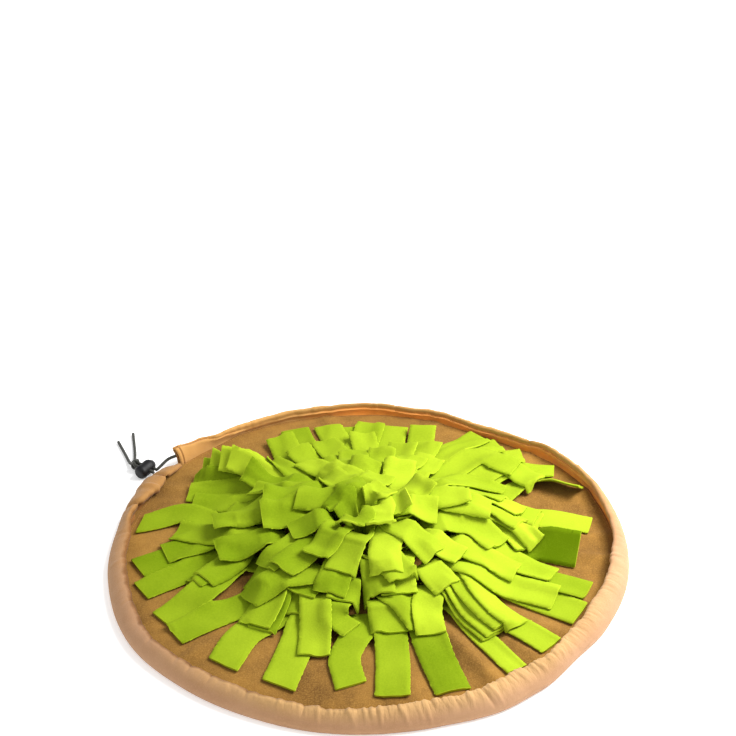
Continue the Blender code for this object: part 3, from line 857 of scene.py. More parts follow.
def resample_loops(knots):
    """Closed loops through the knots, smoothed and evenly spaced: angles, points, 2."""
    a, b, c, d = (np.roll(knots, step, axis=1) for step in (1, 0, -1, -2))
    fine = np.stack([between(a, b, c, d, t) for t in np.linspace(0, 1, 8, endpoint=False)], axis=2)
    fine = fine.reshape(len(knots), -1, 2)
    fine = np.concatenate([fine, fine[:, :1]], axis=1)
    loops = np.stack([evenly_spaced(loop, LOOP_POINTS, endpoint=False) for loop in fine])
    loops[:, :, 1] = np.maximum(loops[:, :, 1], 0.0)
    return loops


# %% The casing's creases
# The top edge wanders over about these lengths.
SLOW_WANDER = 34 * MM
QUICK_WANDER = 9 * MM


def gathers(angle, share):
    """How far the gathered cloth stands in from its smooth section, at each angle and share of the loop."""
    arc = np.radians(angle)[:, None] * MID_RADIUS
    pitch = eased(CASING, "pitch", angle)[:, None]
    count = np.concatenate([[0], np.cumsum(np.diff(arc[:, 0]) / pitch[1:, 0])])[:, None]
    down = share[None, :]
    slant = 0.9 * lattice_noise(count * 0.35, down * 2.0, 21) + 1.1 * (down - 0.5)
    coarse = puffs(count + slant, down * 2.3, 22)
    fine = puffs(2.1 * count + 1.7 * slant, down * 3.6 + 9, 23)
    outer = ramp(0.12, 0.46, down) ** 1.5
    fade = np.where(down < 0.5, 0.08 + 0.9 * outer, 0.75)
    patchy = 0.45 + 0.9 * lattice_noise(count * 0.22, down * 0.5, 24)
    return eased(CASING, "pucker", angle)[:, None] * fade * patchy * (0.9 - coarse + 0.55 * (0.6 - fine))


def edge_wobble(angle):
    """The top edge wanders in and out, and up and down, by a few millimetres."""
    arc = np.radians(angle) * MID_RADIUS
    loose = 0.5 + 0.7 * np.clip(eased(CASING, "pucker", angle) / MM, 0, 1.2)
    slow = lattice_noise(arc / SLOW_WANDER, 0.5, 31) - 0.5
    quick = puffs(arc / QUICK_WANDER, 0.5, 32) - 0.5
    return loose * MM * (4.6 * slow + 1.2 * quick)


# %% The casing's mesh
GIRTH = 62 * MM
CASING_WALL = 0.7 * MM
# The wall grows outwards from the section's outline.
WALL_SIDE = -1.0


def casing_points(angle):
    """The section at each angle, creased, and set round the edge: angles, points, 3."""
    loops = resample_loops(section_knots(angle))
    share = np.arange(LOOP_POINTS) / LOOP_POINTS
    inward = crosswise(np.roll(loops, -1, axis=1) - np.roll(loops, 1, axis=1))
    loops = loops + inward * (gathers(angle, share) - main_creases(angle, share))[:, :, None]
    ends = ramp(CASING_START, CASING_START + 6, angle) * (1 - ramp(CASING_END - 5, CASING_END, angle))
    wobble = (edge_wobble(angle) * ends)[:, None]
    lift = ramp(0.2, 0.45, share) * (1 - ramp(0.6, 0.9, share))
    radius = loops[:, :, 0] + wobble * lift
    height = np.maximum(loops[:, :, 1] + 0.7 * np.roll(wobble, 3, axis=0) * lift, CASING_WALL)
    return set_round(radius, angle[:, None], height)


def set_round(radius, angle, height):
    """Points of the mat at a radius, an angle in degrees and a height."""
    turn = np.radians(angle)
    return np.stack([radius * np.cos(turn), radius * np.sin(turn), height], axis=-1) + CENTRE


def casing_mesh():
    angle = casing_stations()
    faces = tube_faces(len(angle), LOOP_POINTS)
    piece = add_mesh("edge_casing", casing_points(angle).reshape(-1, 3), faces, CASING_CLOTH)
    uv = piece.data.uv_layers.new(name="cloth")
    around = np.radians(angle - CASING_START) * MID_RADIUS
    for face in piece.data.polygons:
        # The last strip of faces runs on to the whole girth, and not back to 0.
        columns = [corner % LOOP_POINTS for corner in face.vertices]
        closing = max(columns) - min(columns) > 1
        for loop in face.loop_indices:
            row, column = divmod(piece.data.loops[loop].vertex_index, LOOP_POINTS)
            if closing and column == 0:
                column = LOOP_POINTS
            uv.data[loop].uv = (around[row], GIRTH * column / LOOP_POINTS)
    wall = piece.modifiers.new("wall", "SOLIDIFY")
    wall.thickness = CASING_WALL
    wall.offset = WALL_SIDE
    return settle_modifiers(piece)


casing = casing_mesh()
print("casing triangles", triangles(casing))
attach(casing, BODY)
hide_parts("rim_casing")

# %% [markdown]
# ## The disc
# The disc lies flat on the floor, but the gathers at its edge pull it into soft radial troughs, and a large
# piece of cloth never lies quite level. Its top is a fan of rings and spokes with this relief in it, over a
# flat underside.

# %% The disc
DISC_THICKNESS = 1.6 * MM
DISC_RINGS = 46
DISC_SPOKES = 360
# The cloth swells over about this length, and the seam pulls at it once in so many degrees.
SWELL = 60 * MM
PULL = 7.5
# The larger folds run in from the seam, and start at a share of the way out to it. Heights and widths are in
# millimetres, and a height below zero is a trough.
Fold = namedtuple("Fold", "angle height width start")
FOLDS = rows_of(
    Fold, (153, 1.8, 7, 0.75), (178, 1.5, 8, 0.8), (208, 1.95, 7, 0.75), (225, 2.1, 7, 0.7),
    (238, 1.8, 8, 0.7), (257, -1.8, 7, 0.7), (266, 2.4, 8, 0.75), (273, -1.2, 5, 0.7), (281, 3.0, 6, 0.7),
    (285.5, -1.95, 5, 0.6), (293, -2.1, 5, 0.5), (298.5, 5.4, 7, 0.45), (306, -2.1, 5, 0.6),
    (311, 2.7, 6, 0.6), (321, 2.4, 7, 0.65), (334, 2.7, 6, 0.65), (344, -1.8, 6, 0.7),
    (352, 3.0, 7, 0.65), (361, 2.7, 7, 0.6), (379, 2.1, 8, 0.7), (400, 2.1, 8, 0.7), (430, 1.8, 8, 0.75),
    (460, 1.8, 8, 0.75), (485, 1.5, 8, 0.8),
)


def disc_relief(angle, radius):
    """Height of the cloth's soft troughs and ridges above its lowest, in metres."""
    edge = radius / MID_RADIUS
    along = np.where(angle >= CASING_START, angle, angle + 360)
    gathered = np.clip(eased(CASING, "pucker", along) / (1.6 * MM), 0, 1)
    spoke = along / PULL
    pull = 1 - puffs(spoke + 0.8 * lattice_noise(spoke * 0.5, edge * 3, 41), edge * 1.2, 42)
    ridges = lattice_noise(1.7 * spoke, edge * 2.5, 43)
    turn = np.radians(angle)
    swell = lattice_noise(radius * np.cos(turn) / SWELL + 50, radius * np.sin(turn) / SWELL + 50, 44)
    gather = gathered * (1.2 * pull + 0.8 * ridges) * ramp(0.5, 0.9, edge)
    folds = 2.2 * ramp(0.45, 0.8, edge)
    for fold in FOLDS:
        off = np.radians(along - fold.angle) * radius / (fold.width * MM)
        folds = folds + fold.height * np.exp(-(off**2)) * ramp(fold.start, fold.start + 0.25, edge)
    return (gather + 1.1 * swell + np.maximum(folds, 0)) * MM * ramp(0.0, 0.12, edge)


def disc_mesh():
    """The top's rings from the middle out, then the underside's edge, closed by a fan at each end."""
    angle = np.arange(DISC_SPOKES) * 360 / DISC_SPOKES
    edge = disc_radius(angle) + 0.2 * MM
    flat = np.zeros(DISC_SPOKES)
    rings = []
    for share in np.linspace(0, 1, DISC_RINGS + 1)[1:] ** 0.8:
        radius = edge * share
        rings.append(set_round(radius, angle, DISC_THICKNESS + disc_relief(angle, radius)))
    rings.append(set_round(edge, angle, flat))
    ends = [CENTRE + DISC_THICKNESS * UP, CENTRE]
    points = np.vstack(rings + ends)
    top = len(points) - 2
    last = DISC_RINGS * DISC_SPOKES
    faces = flipped(tube_faces(DISC_RINGS + 1, DISC_SPOKES))
    for spoke in range(DISC_SPOKES):
        after = (spoke + 1) % DISC_SPOKES
        faces += [(top, spoke, after), (top + 1, last + after, last + spoke)]
    piece = add_mesh("disc", points, faces, DISC_CLOTH)
    uv = piece.data.uv_layers.new(name="cloth")
    for loop in piece.data.loops:
        uv.data[loop.index].uv = piece.data.vertices[loop.vertex_index].co.xy
    return piece


disc = disc_mesh()
print("disc triangles", triangles(disc))
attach(disc, BODY)
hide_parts("base_cloth")

# %% [markdown]
# ## How the fleece lies
# A strip of fleece is soft: it bends over whatever is under it and hangs down past it. So the strips are
# laid one at a time, from the outer ring inwards, on a map of heights that starts as the disc. Each strip
# sinks a little and is smoothed along and across, over and over, and the map holds it up. What is left is a
# strip that spans small hollows and drapes over large ones. Its top then becomes part of the map, so the
# next strip lies on it.

# %% The height map
CELL = 1.25 * MM
CELLS = 424
REACH = CELL * (CELLS - 1) / 2


class HeightMap:
    """The height of the highest cloth so far, over a square grid."""

    def __init__(self):
        line = np.linspace(-REACH, REACH, CELLS)
        x, y = np.meshgrid(line, line, indexing="ij")
        angle = np.degrees(np.arctan2(y, x)) % 360
        self.height = DISC_THICKNESS + disc_relief(angle, np.hypot(x, y))

    def cells(self, places):
        """The rows and columns of the cells that the places are in, one in from the map's edge at least."""
        index = np.rint(np.clip((places + REACH) / CELL, 1, CELLS - 2)).astype(int)
        return index[..., 0], index[..., 1]

    def under(self, places):
        """The highest cloth at or beside each place."""
        i, j = self.cells(places)
        return np.max([self.height[i + di, j + dj] for di in (-1, 0, 1) for dj in (-1, 0, 1)], axis=0)

    def lay(self, places, heights):
        """Raises the map to a strip's top, filled in between its points."""
        grid = np.dstack([places, heights])
        for _ in range(3):
            grid = halfway(halfway(grid).transpose(1, 0, 2)).transpose(1, 0, 2)
        np.maximum.at(self.height, self.cells(grid[..., :2]), grid[..., 2])


def halfway(grid):
    """A grid with a row added between each two."""
    out = np.empty((2 * len(grid) - 1,) + grid.shape[1:])
    out[::2] = grid
    out[1::2] = (grid[1:] + grid[:-1]) / 2
    return out


# %% Sinking a strip onto the map
FLEECE_THICKNESS = 2.1 * MM
STRIP_STEP = 3.2 * MM
STRIP_LINES = 9
# A strip rests this far above the cloth under it, and may settle into that gap at the end.
REST_GAP = 0.5 * MM
SETTLE = 0.15 * MM
SINK_ROUNDS = 260
SINK_STEP = 0.16 * MM
# How much of each round's smoothing runs across the strip.
ACROSS = 0.45
# A strip turned beyond the first of these starts to stand on its edge, and past the second it doesn't sag
# across its width.
STIFF_ROLLS = (math.radians(37), math.radians(40))


def smoothed(grid):
    """One binomial smoothing along the first axis, with free ends that run straight on."""
    first = 2 * grid[0] - grid[1]
    last = 2 * grid[-1] - grid[-2]
    padded = np.vstack([2 * first - grid[0], first, grid, last, 2 * last - grid[-1]])
    return (padded[:-4] + 4 * padded[1:-3] + 6 * padded[2:-2] + 4 * padded[3:-1] + padded[4:]) / 16


def sink(floor, stiff):
    """Lets a strip down onto its floor. Where it is stiff, it keeps one height across its width."""
    root_height = floor[0].min()
    height = floor
    for _ in range(SINK_ROUNDS):
        height = smoothed(height)
        height = (1 - ACROSS) * height + ACROSS * smoothed(height.T).T
        height = np.maximum(height - SINK_STEP, floor)
        height += stiff[:, None] * (height.max(axis=1, keepdims=True) - height)
        height[0] = root_height
    return np.maximum(smoothed(smoothed(height)), floor - SETTLE)


def drape(heights, line, width, rise, roll, cup, cut):
    """Lays a strip whose middle follows line, in plan. Returns its middle surface: stations, lines, 3."""
    along = unit(np.gradient(line, axis=0))
    side = crosswise(along)
    offsets = np.linspace(-0.5, 0.5, STRIP_LINES)[None, :] * width[:, None]
    places = line[:, None, :] + side[:, None, :] * (offsets * np.cos(roll)[:, None])[:, :, None]
    slanted = math.tan(math.radians(cut)) * ramp(0.65, 1.0, np.linspace(0, 1, len(line)))
    places += along[:, None, :] * (offsets * slanted[:, None])[:, :, None]
    natural = offsets * np.sin(roll)[:, None] + cup[:, None] * (2 * offsets / width[:, None]) ** 2
    under = heights.under(places) + REST_GAP
    steps = np.linalg.norm(np.gradient(places, axis=0), axis=2)
    half = np.full(under.shape, FLEECE_THICKNESS / 2)
    # The second time, the strip's half thickness is measured straight down through its slope.
    for _ in range(2):
        floor = np.maximum(under + half - natural, (rise + FLEECE_THICKNESS / 2)[:, None])
        height = sink(floor, ramp(*STIFF_ROLLS, np.abs(roll))) + natural
        slope = np.gradient(height, axis=0) / steps
        half = FLEECE_THICKNESS / 2 * np.sqrt(1 + np.clip(slope, -2, 2) ** 2)
    surface = np.dstack([places, height])
    heights.lay(places[1:], (height + half)[1:])
    return surface


# %% [markdown]
# ## From surface to strip
# The draped surface gets its thickness along its own normals. A cut fleece edge is soft and slightly
# ragged, so the sides bulge a little and every point along them is moved by a fraction of a millimetre.

# %% The strip's mesh
RAGGED = 0.26 * MM
BULGE = 0.45 * MM
TIP_BULGE = 0.4 * MM
# The cut sides and the tip are drawn in to these shares of the thickness and the size.
SIDE_SHARE = 0.82
TIP_SHARE = 0.97


def thick_strip(surface, ragged):
    """A closed body round the surface, with rounded, slightly ragged edges."""
    stations, lines = surface.shape[:2]
    along = np.gradient(surface, axis=0)
    across = np.gradient(surface, axis=1)
    normal = unit(np.cross(along, across))
    across = unit(across)
    jitter = ragged.normal(0, RAGGED, (stations, 2))
    left = surface[:, 0] - across[:, 0] * (BULGE + jitter[:, :1])
    right = surface[:, -1] + across[:, -1] * (BULGE + jitter[:, 1:])
    thin = np.ones(lines)
    thin[[0, -1]] = SIDE_SHARE
    offset = normal * (FLEECE_THICKNESS / 2 * thin)[None, :, None]
    under = (surface - offset)[:, ::-1]
    loop = np.concatenate([surface + offset, right[:, None], under, left[:, None]], axis=1)
    middle = surface[-1].mean(axis=0)
    tip = (loop[-1] - middle) * TIP_SHARE + middle + TIP_BULGE * unit(along[-1].mean(axis=0))
    points = np.vstack([loop.reshape(-1, 3), tip])
    count = loop.shape[1]
    faces = tube_faces(stations + 1, count)
    for first, step in ((stations * count, 1), (0, -1)):
        cap = [(column, column + 1, count - 3 - column, count - 2 - column) for column in range(lines - 1)]
        cap += [(lines - 1, lines, lines + 1), (count - 1, 0, count - 2)]
        faces += [tuple(first + corner for corner in face[::step]) for face in cap]
    return points + CENTRE, faces


# %% [markdown]
# ## The strips
# Where the strips lie in the open, each has a row of its own: where the middle of its tip is, which way it
# points there, and how wide it is. Roll stands it on one edge, cup bends it across, curl lifts its tip,
# arch lifts its middle, and cut slants its end. Root is where on the seam it starts, and nap how pale it is,
# from how its nap lies and from painted light and shade. The rest of each ring is filled evenly, with small
# differences from strip to strip.

# %% Tables for the strips
# Nap sets how pale a strip is: partly how its nap lies, partly painted light and shade.
Strip = namedtuple("Strip", "x y points width roll cup curl arch root nap cut",
                   defaults=(0, 0.6, 0, 0, None, None, 0))
# Each ring has its node, its number of strips, the radii of its seam and of its longest tips, and the angles
# between which strips fill the gaps after its own rows. Rise holds radii, and the least height at each.
Ring = namedtuple("Ring", "name node strips root reach low high rise")
RINGS = rows_of(
    Ring,
    ("fleece_outer", "fleece_ring_1", 32, 105, 219, 62, 136,
     [(105, 0), (112, 3), (126, 6), (142, 4), (152, 0)]),
    ("fleece_second", "fleece_ring_2", 31, 84, 182, 62, 140,
     [(84, 0), (92, 7), (102, 14), (113, 16), (126, 11), (138, 0)]),
    ("fleece_third", "fleece_ring_3", 23, 62, 148, 30, 230,
     [(62, 0), (68, 9), (78, 20), (90, 27), (102, 25), (114, 0)]),
    ("fleece_fourth", "fleece_ring_4", 16, 40, 108, 0, 360,
     [(40, 0), (45, 12), (53, 25), (64, 34), (76, 34), (88, 0)]),
    ("fleece_fifth", "fleece_ring_5", 10, 20, 82, 0, 360,
     [(20, 0), (24, 16), (31, 32), (41, 42), (52, 43), (64, 0)]),
    ("fleece_crown", "fleece_tuft", 6, 8, 48, 0, 360,
     [(8, 0), (10, 18), (15, 38), (24, 50), (32, 50), (40, 0)]),
)
PLACED = {
    "fleece_outer": [
        Strip(-216, -34, 213, 31, nap=0.12), Strip(-209, -67, 215, 28, nap=0.24),
        Strip(-184, -110, 225, 29, roll=-9, cup=2, arch=9), Strip(-171, -130, 215, 29, nap=0.32),
        Strip(-125, -170, 247, 31, root=234, nap=0.42, cut=14),
        Strip(-76, -197, 255, 31, root=245, nap=0.55, cut=15),
        Strip(-15, -199, 277, 27, arch=3, root=269, nap=0.4, cut=-14),
        Strip(20, -213, 268, 29, root=279, nap=0.38), Strip(71, -208, 285, 31, nap=0.22),
        Strip(127, -184, 301, 20, nap=0.7), Strip(160, -156, 315, 26), Strip(191, -115, 326, 31, nap=0.6),
        Strip(203, -84, 333, 31, nap=0.35), Strip(221, 17, 342, 29, arch=3, root=14, nap=0.8),
        Strip(220, 72, 335, 24, roll=-38, arch=6, root=24, nap=0.7),
        Strip(197, 106, 352, 30, curl=2, arch=8, root=38),
        Strip(168, 138, 6, 30, cup=1, curl=2, arch=8, root=50),
        Strip(146, 160, 20, 30, cup=1, curl=2, arch=6, root=58),
        Strip(127, 180, 40, 30, cup=1, curl=2, arch=6, root=66),
        Strip(-168, 116, 168, 26, roll=-44, cup=2, curl=1, root=140, nap=0.4),
        Strip(-159, 118, 160, 26, roll=-48, cup=2, curl=2, root=139, nap=0.7),
        Strip(-177, 106, 172, 26, roll=-30, arch=2, nap=0.25),
        Strip(-180, 89, 174, 30, roll=-16, arch=4, nap=0.34),
        Strip(-174, 70, 170, 30, roll=-10, arch=4, nap=0.3),
        Strip(-223, 37, 192, 27, roll=-8, cup=2.4, arch=7, root=173, nap=0.34, cut=24),
    ],
    "fleece_second": [
        Strip(201, -34, 342, 35, roll=41, root=348, nap=0.03), Strip(-160, -64, 222, 24),
        Strip(-151, -62, 228, 29, nap=0.3), Strip(-62, -112, 262, 24), Strip(-94, -127, 249, 27, nap=0.2),
        Strip(-101, -123, 247, 31, nap=0.42), Strip(-14, -133, 313, 22, arch=3, root=258),
        Strip(-47, -162, 268, 28, root=243, nap=0.6), Strip(20, -137, 276, 33, nap=0.45),
        Strip(49, -130, 302, 28, nap=0.4), Strip(56, -139, 274, 27, nap=0.72),
        Strip(111, -143, 303, 25, nap=0.5), Strip(115, -140, 304, 26, nap=0.7),
        Strip(122, -134, 306, 26, nap=0.6), Strip(132, -133, 304, 25, nap=0.8), Strip(172, -95, 335, 31),
        Strip(174, -62, 330, 31, roll=10), Strip(172, 22, 338, 29, arch=3, root=10),
        Strip(170, 27, 336, 29, arch=4, root=16), Strip(176, 82, 316, 27, cup=1, arch=8, root=38),
        Strip(158, 108, 332, 30, cup=1, arch=10, root=50), Strip(-193, -14, 203, 33, nap=0.18),
        Strip(-186, 20, 160, 30, cup=1.2, arch=6, root=185, nap=0.35),
        Strip(-148, 114, 166, 26, roll=-46, cup=2, curl=2, root=137, nap=0.95),
        Strip(-138, 110, 158, 26, roll=-42, cup=2, curl=3, root=136, nap=0.8),
    ],
    "fleece_third": [
        Strip(-104, -74, 228, 28), Strip(-126, 16, 190, 27, cup=1.2, curl=2, arch=6),
        Strip(-136, 34, 172, 31, cup=2, curl=4, arch=12),
        Strip(-120, 92, 150, 28, roll=30, cup=2, curl=10, arch=8), Strip(-60, -96, 246, 28),
        Strip(-22, -106, 262, 28), Strip(74, -92, 305, 28), Strip(140, -60, 334, 28),
        Strip(152, -25, 304, 20, arch=6, root=11), Strip(163, -23, 306, 18, arch=6, root=16, nap=0.9),
        Strip(152, 8, 328, 29, arch=8, root=8), Strip(154, 28, 332, 29, arch=8, root=20),
        Strip(140, 50, 338, 29, arch=8, root=30), Strip(141, 72, 345, 29, arch=8, root=40),
    ],
    "fleece_fourth": [
        Strip(-93, -61, 222, 28), Strip(30, -98, 276, 33),
        Strip(126, -28, 318, 32, cup=1.4, arch=4, root=352), Strip(-34, -100, 252, 30),
        Strip(122, 12, 350, 29, cup=1, curl=2, arch=6),
        Strip(-112, 60, 158, 28, roll=20, cup=2, curl=6, arch=6),
    ],
    "fleece_fifth": [
        Strip(19, -84, 272, 30), Strip(-24, -80, 250, 29), Strip(64, -58, 318, 29),
    ],
    "fleece_crown": [],
}


# %% Where each strip runs
# A ring without rows of its own counts this angle as taken, so its first strip goes on the far side.
TAKEN_AT_FIRST = 200.0


def root_of(ring, strip):
    """Where the strip starts on the seam: at its own angle, or where its line run back meets the seam."""
    tip = np.array([strip.x, strip.y], float)
    turn = math.radians(strip.points)
    pointing = np.array([math.cos(turn), math.sin(turn)])
    ahead = tip.dot(pointing)
    room = max(ahead**2 - tip.dot(tip) + ring.root**2, 0.0)
    root = tip - (ahead - math.sqrt(room)) * pointing
    angle = strip.root if strip.root is not None else math.degrees(math.atan2(root[1], root[0]))
    root = ring.root * np.array([math.cos(math.radians(angle)), math.sin(math.radians(angle))])
    return root, pointing, angle % 360


def ring_strips(ring, wobble):
    """The placed strips, then the rest of the ring, evenly spread over the part of the seam they fill."""
    strips = list(PLACED[ring.name])
    taken = sorted(root_of(ring, strip)[2] for strip in strips) or [TAKEN_AT_FIRST]
    for _ in range(ring.strips - len(strips)):
        gaps = [(after - before, before) for before, after in zip(taken, taken[1:] + [taken[0] + 360])
                if ring.low <= (before + after) / 2 % 360 <= ring.high]
        gap, before = max(gaps)
        angle = (before + gap * wobble.uniform(0.44, 0.56)) % 360
        taken = sorted(taken + [angle])
        reach = ring.reach - wobble.uniform(0, 14)
        turn = math.radians(angle + wobble.uniform(-4, 4))
        strips.append(Strip(reach * math.cos(turn), reach * math.sin(turn), angle + wobble.uniform(-14, 14),
                            wobble.uniform(28, 32), wobble.uniform(-8, 8), wobble.uniform(-0.6, 1.8),
                            float(wobble.choice([0, 0, 2, 4, 8])), float(wobble.choice([0, 0, 2, 5])),
                            cut=wobble.uniform(-8, 8)))
    return strips


def strip_line(ring, strip):
    """The strip's middle in plan, from its root on the ring's seam to its tip, in metres."""
    root, pointing, _ = root_of(ring, strip)
    tip = np.array([strip.x, strip.y], float)
    run = np.linalg.norm(tip - root)
    knots = [root, root + root / ring.root * 0.2 * run, tip - pointing * 0.4 * run, tip]
    return smooth_curve(np.array(knots) * MM, STRIP_STEP)


# %% Laying one strip
# At its root a strip is gathered to this width in millimetres, or to less where the ring is crowded.
ROOT_WIDTH = 26.0
CROWDED = 1.3
RIPPLE = 0.28 * MM
# How much paler a strip is painted along a cut, a painted highlight where the fuzzy edge catches the light.
PAINTED_EDGE_HIGHLIGHT = 0.8


def lay_strip(ring, strip, heights, wobble):
    line = strip_line(ring, strip)
    share = np.linspace(0, 1, len(line))
    narrow = min(ROOT_WIDTH, CROWDED * 2 * math.pi * ring.root / ring.strips)
    width = (narrow + (strip.width - narrow) * ramp(0, 0.3, share)) * MM
    radius = np.hypot(line[:, 0], line[:, 1]) / MM
    rise = np.interp(radius, *zip(*ring.rise)) * MM
    rise = rise * wobble.uniform(0.85, 1.08) * (1 - ramp(0.5, 0.9, share))
    rise += DISC_THICKNESS + strip.arch * MM * np.sin(math.pi * ramp(0.2, 1.0, share))
    roll = np.radians(strip.roll) * ramp(0.25, 0.8, share)
    surface = drape(heights, line, width, rise, roll, strip.cup * MM * ramp(0.2, 0.9, share), strip.cut)
    surface[:, :, 2] += strip.curl * MM * ramp(0.66, 1.0, share)[:, None] ** 2
    surface[:, :, 2] += strip_ripple(share, wobble)
    return surface, float(width.mean())


def strip_ripple(share, wobble):
    """A slow wave of a fraction of a millimetre, so that no strip is quite straight."""
    across = np.linspace(-1, 1, STRIP_LINES)[None, :]
    phase = wobble.uniform(0, 6.28, 2)
    wave = np.sin(7 * share[:, None] + phase[0] + 0.8 * across)
    wave += 0.6 * np.sin(15 * share[:, None] + phase[1])
    return RIPPLE * (wave + 1.6) * ramp(0.1, 0.4, share)[:, None]


def nap_and_light_of(ring, strip, wobble):
    """How pale the strip is, from its nap and painted light: its own number, or one from the way it points,
    paler to the right.
    """
    if strip.nap is not None:
        return strip.nap
    return 0.5 + 0.26 * math.cos(math.radians(root_of(ring, strip)[2])) + wobble.uniform(-0.12, 0.12)


def strip_naps_and_highlight(nap, count):
    """How pale each point of a strip is: its number, with a painted highlight along the cut sides and tip.
    """
    loop = 2 * STRIP_LINES + 2
    naps_and_light = np.full(count, nap).reshape(-1, loop)
    naps_and_light[:, [STRIP_LINES, loop - 1]] += PAINTED_EDGE_HIGHLIGHT
    naps_and_light[-1] += PAINTED_EDGE_HIGHLIGHT
    return naps_and_light.ravel()


def lay_ring(ring, heights, wobble):
    parts, naps_and_light, lengths, area = [], [], [], 0.0
    for strip in ring_strips(ring, wobble):
        surface, width = lay_strip(ring, strip, heights, wobble)
        parts.append(thick_strip(halfway(surface), wobble))
        naps_and_light.append(strip_naps_and_highlight(nap_and_light_of(ring, strip, wobble), len(parts[-1][0])))
        lengths.append(length_of(surface[:, STRIP_LINES // 2]))
        area += lengths[-1] * width
    piece = add_mesh(ring.name, *join_parts(parts), FLEECE, smooth_angle=75)
    # The nap attribute holds painted light and shade as well as how the nap lies.
    piece.data.attributes.new("nap", "FLOAT", "POINT").data.foreach_set("value", np.concatenate(naps_and_light))
    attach(piece, BODY)
    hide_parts(ring.node)
    print(ring.name, len(parts), "strips, mean length", round(np.mean(lengths), 3), "m")


heights = HeightMap()
wobble = np.random.default_rng(5)
for ring in RINGS:
    lay_ring(ring, heights, wobble)

# %% [markdown]
# ## Stitches
# The casing is sewn to the disc with thread, and the tab is hemmed. Each stitch is a short rounded bar. A
# small tree of Geometry Nodes puts one at every step along a guide line, and turns it to follow the line.


# %% The stitch tree
def stitch_tree(material):
    tree = bpy.data.node_groups.new("stitches", "GeometryNodeTree")
    interface = tree.interface
    interface.new_socket("Geometry", in_out="INPUT", socket_type="NodeSocketGeometry")
    for name, value in (("Pitch", 3.0 * MM), ("Length", 2.1 * MM), ("Thread", 0.35 * MM)):
        interface.new_socket(name, in_out="INPUT", socket_type="NodeSocketFloat").default_value = value
    interface.new_socket("Geometry", in_out="OUTPUT", socket_type="NodeSocketGeometry")
    add = tree.nodes.new
    start, end = add("NodeGroupInput"), add("NodeGroupOutput")
    points = add("GeometryNodeCurveToPoints")
    points.mode = "LENGTH"
    bar = add("GeometryNodeMeshUVSphere")
    for name, value in (("Segments", 6), ("Rings", 5), ("Radius", 0.5)):
        bar.inputs[name].default_value = value
    size = add("ShaderNodeCombineXYZ")
    place = add("GeometryNodeInstanceOnPoints")
    solid = add("GeometryNodeRealizeInstances")
    finish = add("GeometryNodeSetMaterial")
    finish.inputs["Material"].default_value = material
    for source, output, target, entry in (
        (start, "Geometry", points, "Curve"), (start, "Pitch", points, "Length"),
        (points, "Points", place, "Points"), (points, "Rotation", place, "Rotation"),
        (bar, "Mesh", place, "Instance"), (size, "Vector", place, "Scale"),
        (start, "Thread", size, "X"), (start, "Thread", size, "Y"), (start, "Length", size, "Z"),
        (place, "Instances", solid, "Geometry"), (solid, "Geometry", finish, "Geometry"),
        (finish, "Geometry", end, "Geometry"),
    ):
        tree.links.new(source.outputs[output], target.inputs[entry])
    return tree


def thread_material():
    nodes = Nodes("tan_thread")
    twist = nodes.noise(1800, 1.0)
    colour = nodes.blend(nodes.span(twist, 0.3, 0.7), screen(150, 92, 40), screen(196, 134, 76))
    return nodes.finish(colour, nodes.bump(twist, 0.0002, 0.5), Roughness=0.6)


STITCHES = stitch_tree(thread_material())


# %% Sewing
def sew(name, lines, **sizes):
    """Stitches along each line, as one plain mesh."""
    guide = curve_object(name, lines)
    modifier = guide.modifiers.new("stitches", "NODES")
    modifier.node_group = STITCHES
    for item in STITCHES.interface.items_tree:
        if item.item_type == "SOCKET" and item.in_out == "INPUT" and item.name in sizes:
            modifier[item.identifier] = sizes[item.name]
    graph = bpy.context.evaluated_depsgraph_get()
    mesh = bpy.data.meshes.new_from_object(guide.evaluated_get(graph))
    bpy.data.objects.remove(guide)
    mesh.shade_smooth()
    piece = new_object(name, mesh)
    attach(piece, BODY)
    return piece


# %% The seam and the hem
SEAM_INSIDE = 1.6 * MM
THREAD_ABOVE = 0.1 * MM
# The hem's line is this many degrees in from the tab's end, over these points of the casing's section.
HEM_IN = 1.2
HEM_POINTS = slice(20, 34)
HEM_GAP = 0.2 * MM
HEM_LEAST = CASING_WALL + 0.3 * MM


def seam_line():
    """Just inside the casing's foot, on the disc's relief."""
    angle = np.linspace(CASING_START + 1, CASING_END - 1, 700)
    radius = disc_radius(angle) - 0.55 * slope_out(angle) - SEAM_INSIDE
    return set_round(radius, angle, DISC_THICKNESS + disc_relief(angle % 360, radius) + THREAD_ABOVE)


def hem_line():
    """Down the inner face of the tab, near its mouth."""
    angle = np.array([CASING_END - HEM_IN])
    radius, height = resample_loops(section_knots(angle))[0, HEM_POINTS].T
    return set_round(radius - CASING_WALL - HEM_GAP, angle, np.maximum(height, HEM_LEAST))


seam = sew("seam_stitches", [seam_line(), hem_line()], Pitch=3.2 * MM, Length=2.3 * MM, Thread=0.5 * MM)
print("seam triangles", triangles(seam))

# %% [markdown]
# ## Floor and light
# The mat lies on a plain pale floor. A broad sky light and a nearer lamp, as a window would be, both come
# from the right and slightly behind. A wide dim lamp at the front left keeps the shaded side readable, and
# an even light all round lifts the shadows.

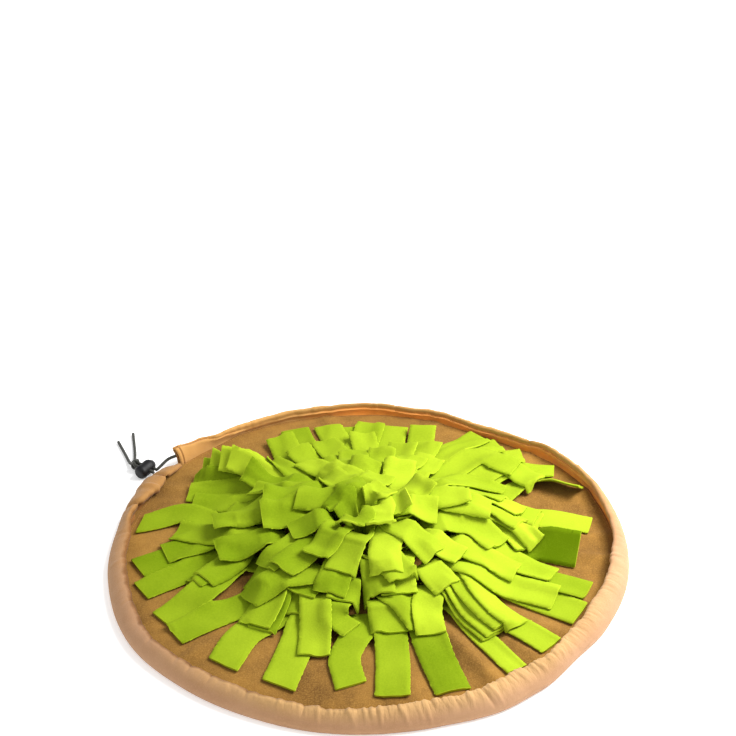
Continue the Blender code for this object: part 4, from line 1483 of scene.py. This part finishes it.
# %% The floor
FLOOR_SIZE = 40.0
FLOOR_BELOW = 0.05 * MM
WHITE = (1.0, 1.0, 1.0)


def add_floor():
    bpy.ops.mesh.primitive_plane_add(size=FLOOR_SIZE, location=(0, 0, -FLOOR_BELOW))
    floor = bpy.context.object
    floor.name = "floor"
    nodes = Nodes("pale_floor")
    nodes.set(nodes.shader, {"Base_Color": (0.93, 0.93, 0.93, 1.0), "Roughness": 0.95,
                             "Specular_IOR_Level": 0.1, "Emission_Color": WHITE + (1.0,),
                             "Emission_Strength": 0.35})
    floor.data.materials.append(nodes.material)


add_floor()

# %% The lights
# Azimuths and elevations are degrees, distances and sizes metres.
Light = namedtuple("Light", "name azimuth elevation distance size energy colour")
LIGHTS = rows_of(
    Light,
    ("window", 10, 46, 0.72, 0.36, 6.4, (1.0, 0.98, 0.94)),
    ("fill", 214, 36, 1.8, 1.4, 3.6, (0.98, 0.98, 1.0)),
)
SUN_FROM = (18, 52)
SUN_STRENGTH = 1.9
SUN_SOFTNESS = 18
WORLD_LIGHT = 0.56


def direction(azimuth, elevation):
    azimuth, elevation = math.radians(azimuth), math.radians(elevation)
    return Vector((math.cos(azimuth) * math.cos(elevation), math.sin(azimuth) * math.cos(elevation),
                   math.sin(elevation)))


def add_lamp(name, kind, source, energy, colour):
    data = bpy.data.lights.new(name, kind)
    data.energy = energy
    data.color = colour
    lamp = new_object(name, data)
    lamp.location = source
    lamp.rotation_euler = (-source).to_track_quat("-Z", "Y").to_euler()
    return data


def add_world():
    world = bpy.data.worlds.new("studio")
    world.use_nodes = True
    background = world.node_tree.nodes["Background"]
    background.inputs["Color"].default_value = WHITE + (1.0,)
    background.inputs["Strength"].default_value = WORLD_LIGHT
    bpy.context.scene.world = world


for light in LIGHTS:
    source = light.distance * direction(light.azimuth, light.elevation)
    add_lamp(light.name, "AREA", source, light.energy, light.colour).size = light.size
add_lamp("sky", "SUN", direction(*SUN_FROM), SUN_STRENGTH, WHITE).angle = math.radians(SUN_SOFTNESS)
add_world()
bpy.context.scene.view_settings.view_transform = "Standard"
print("lights", [light.name for light in LIGHTS])
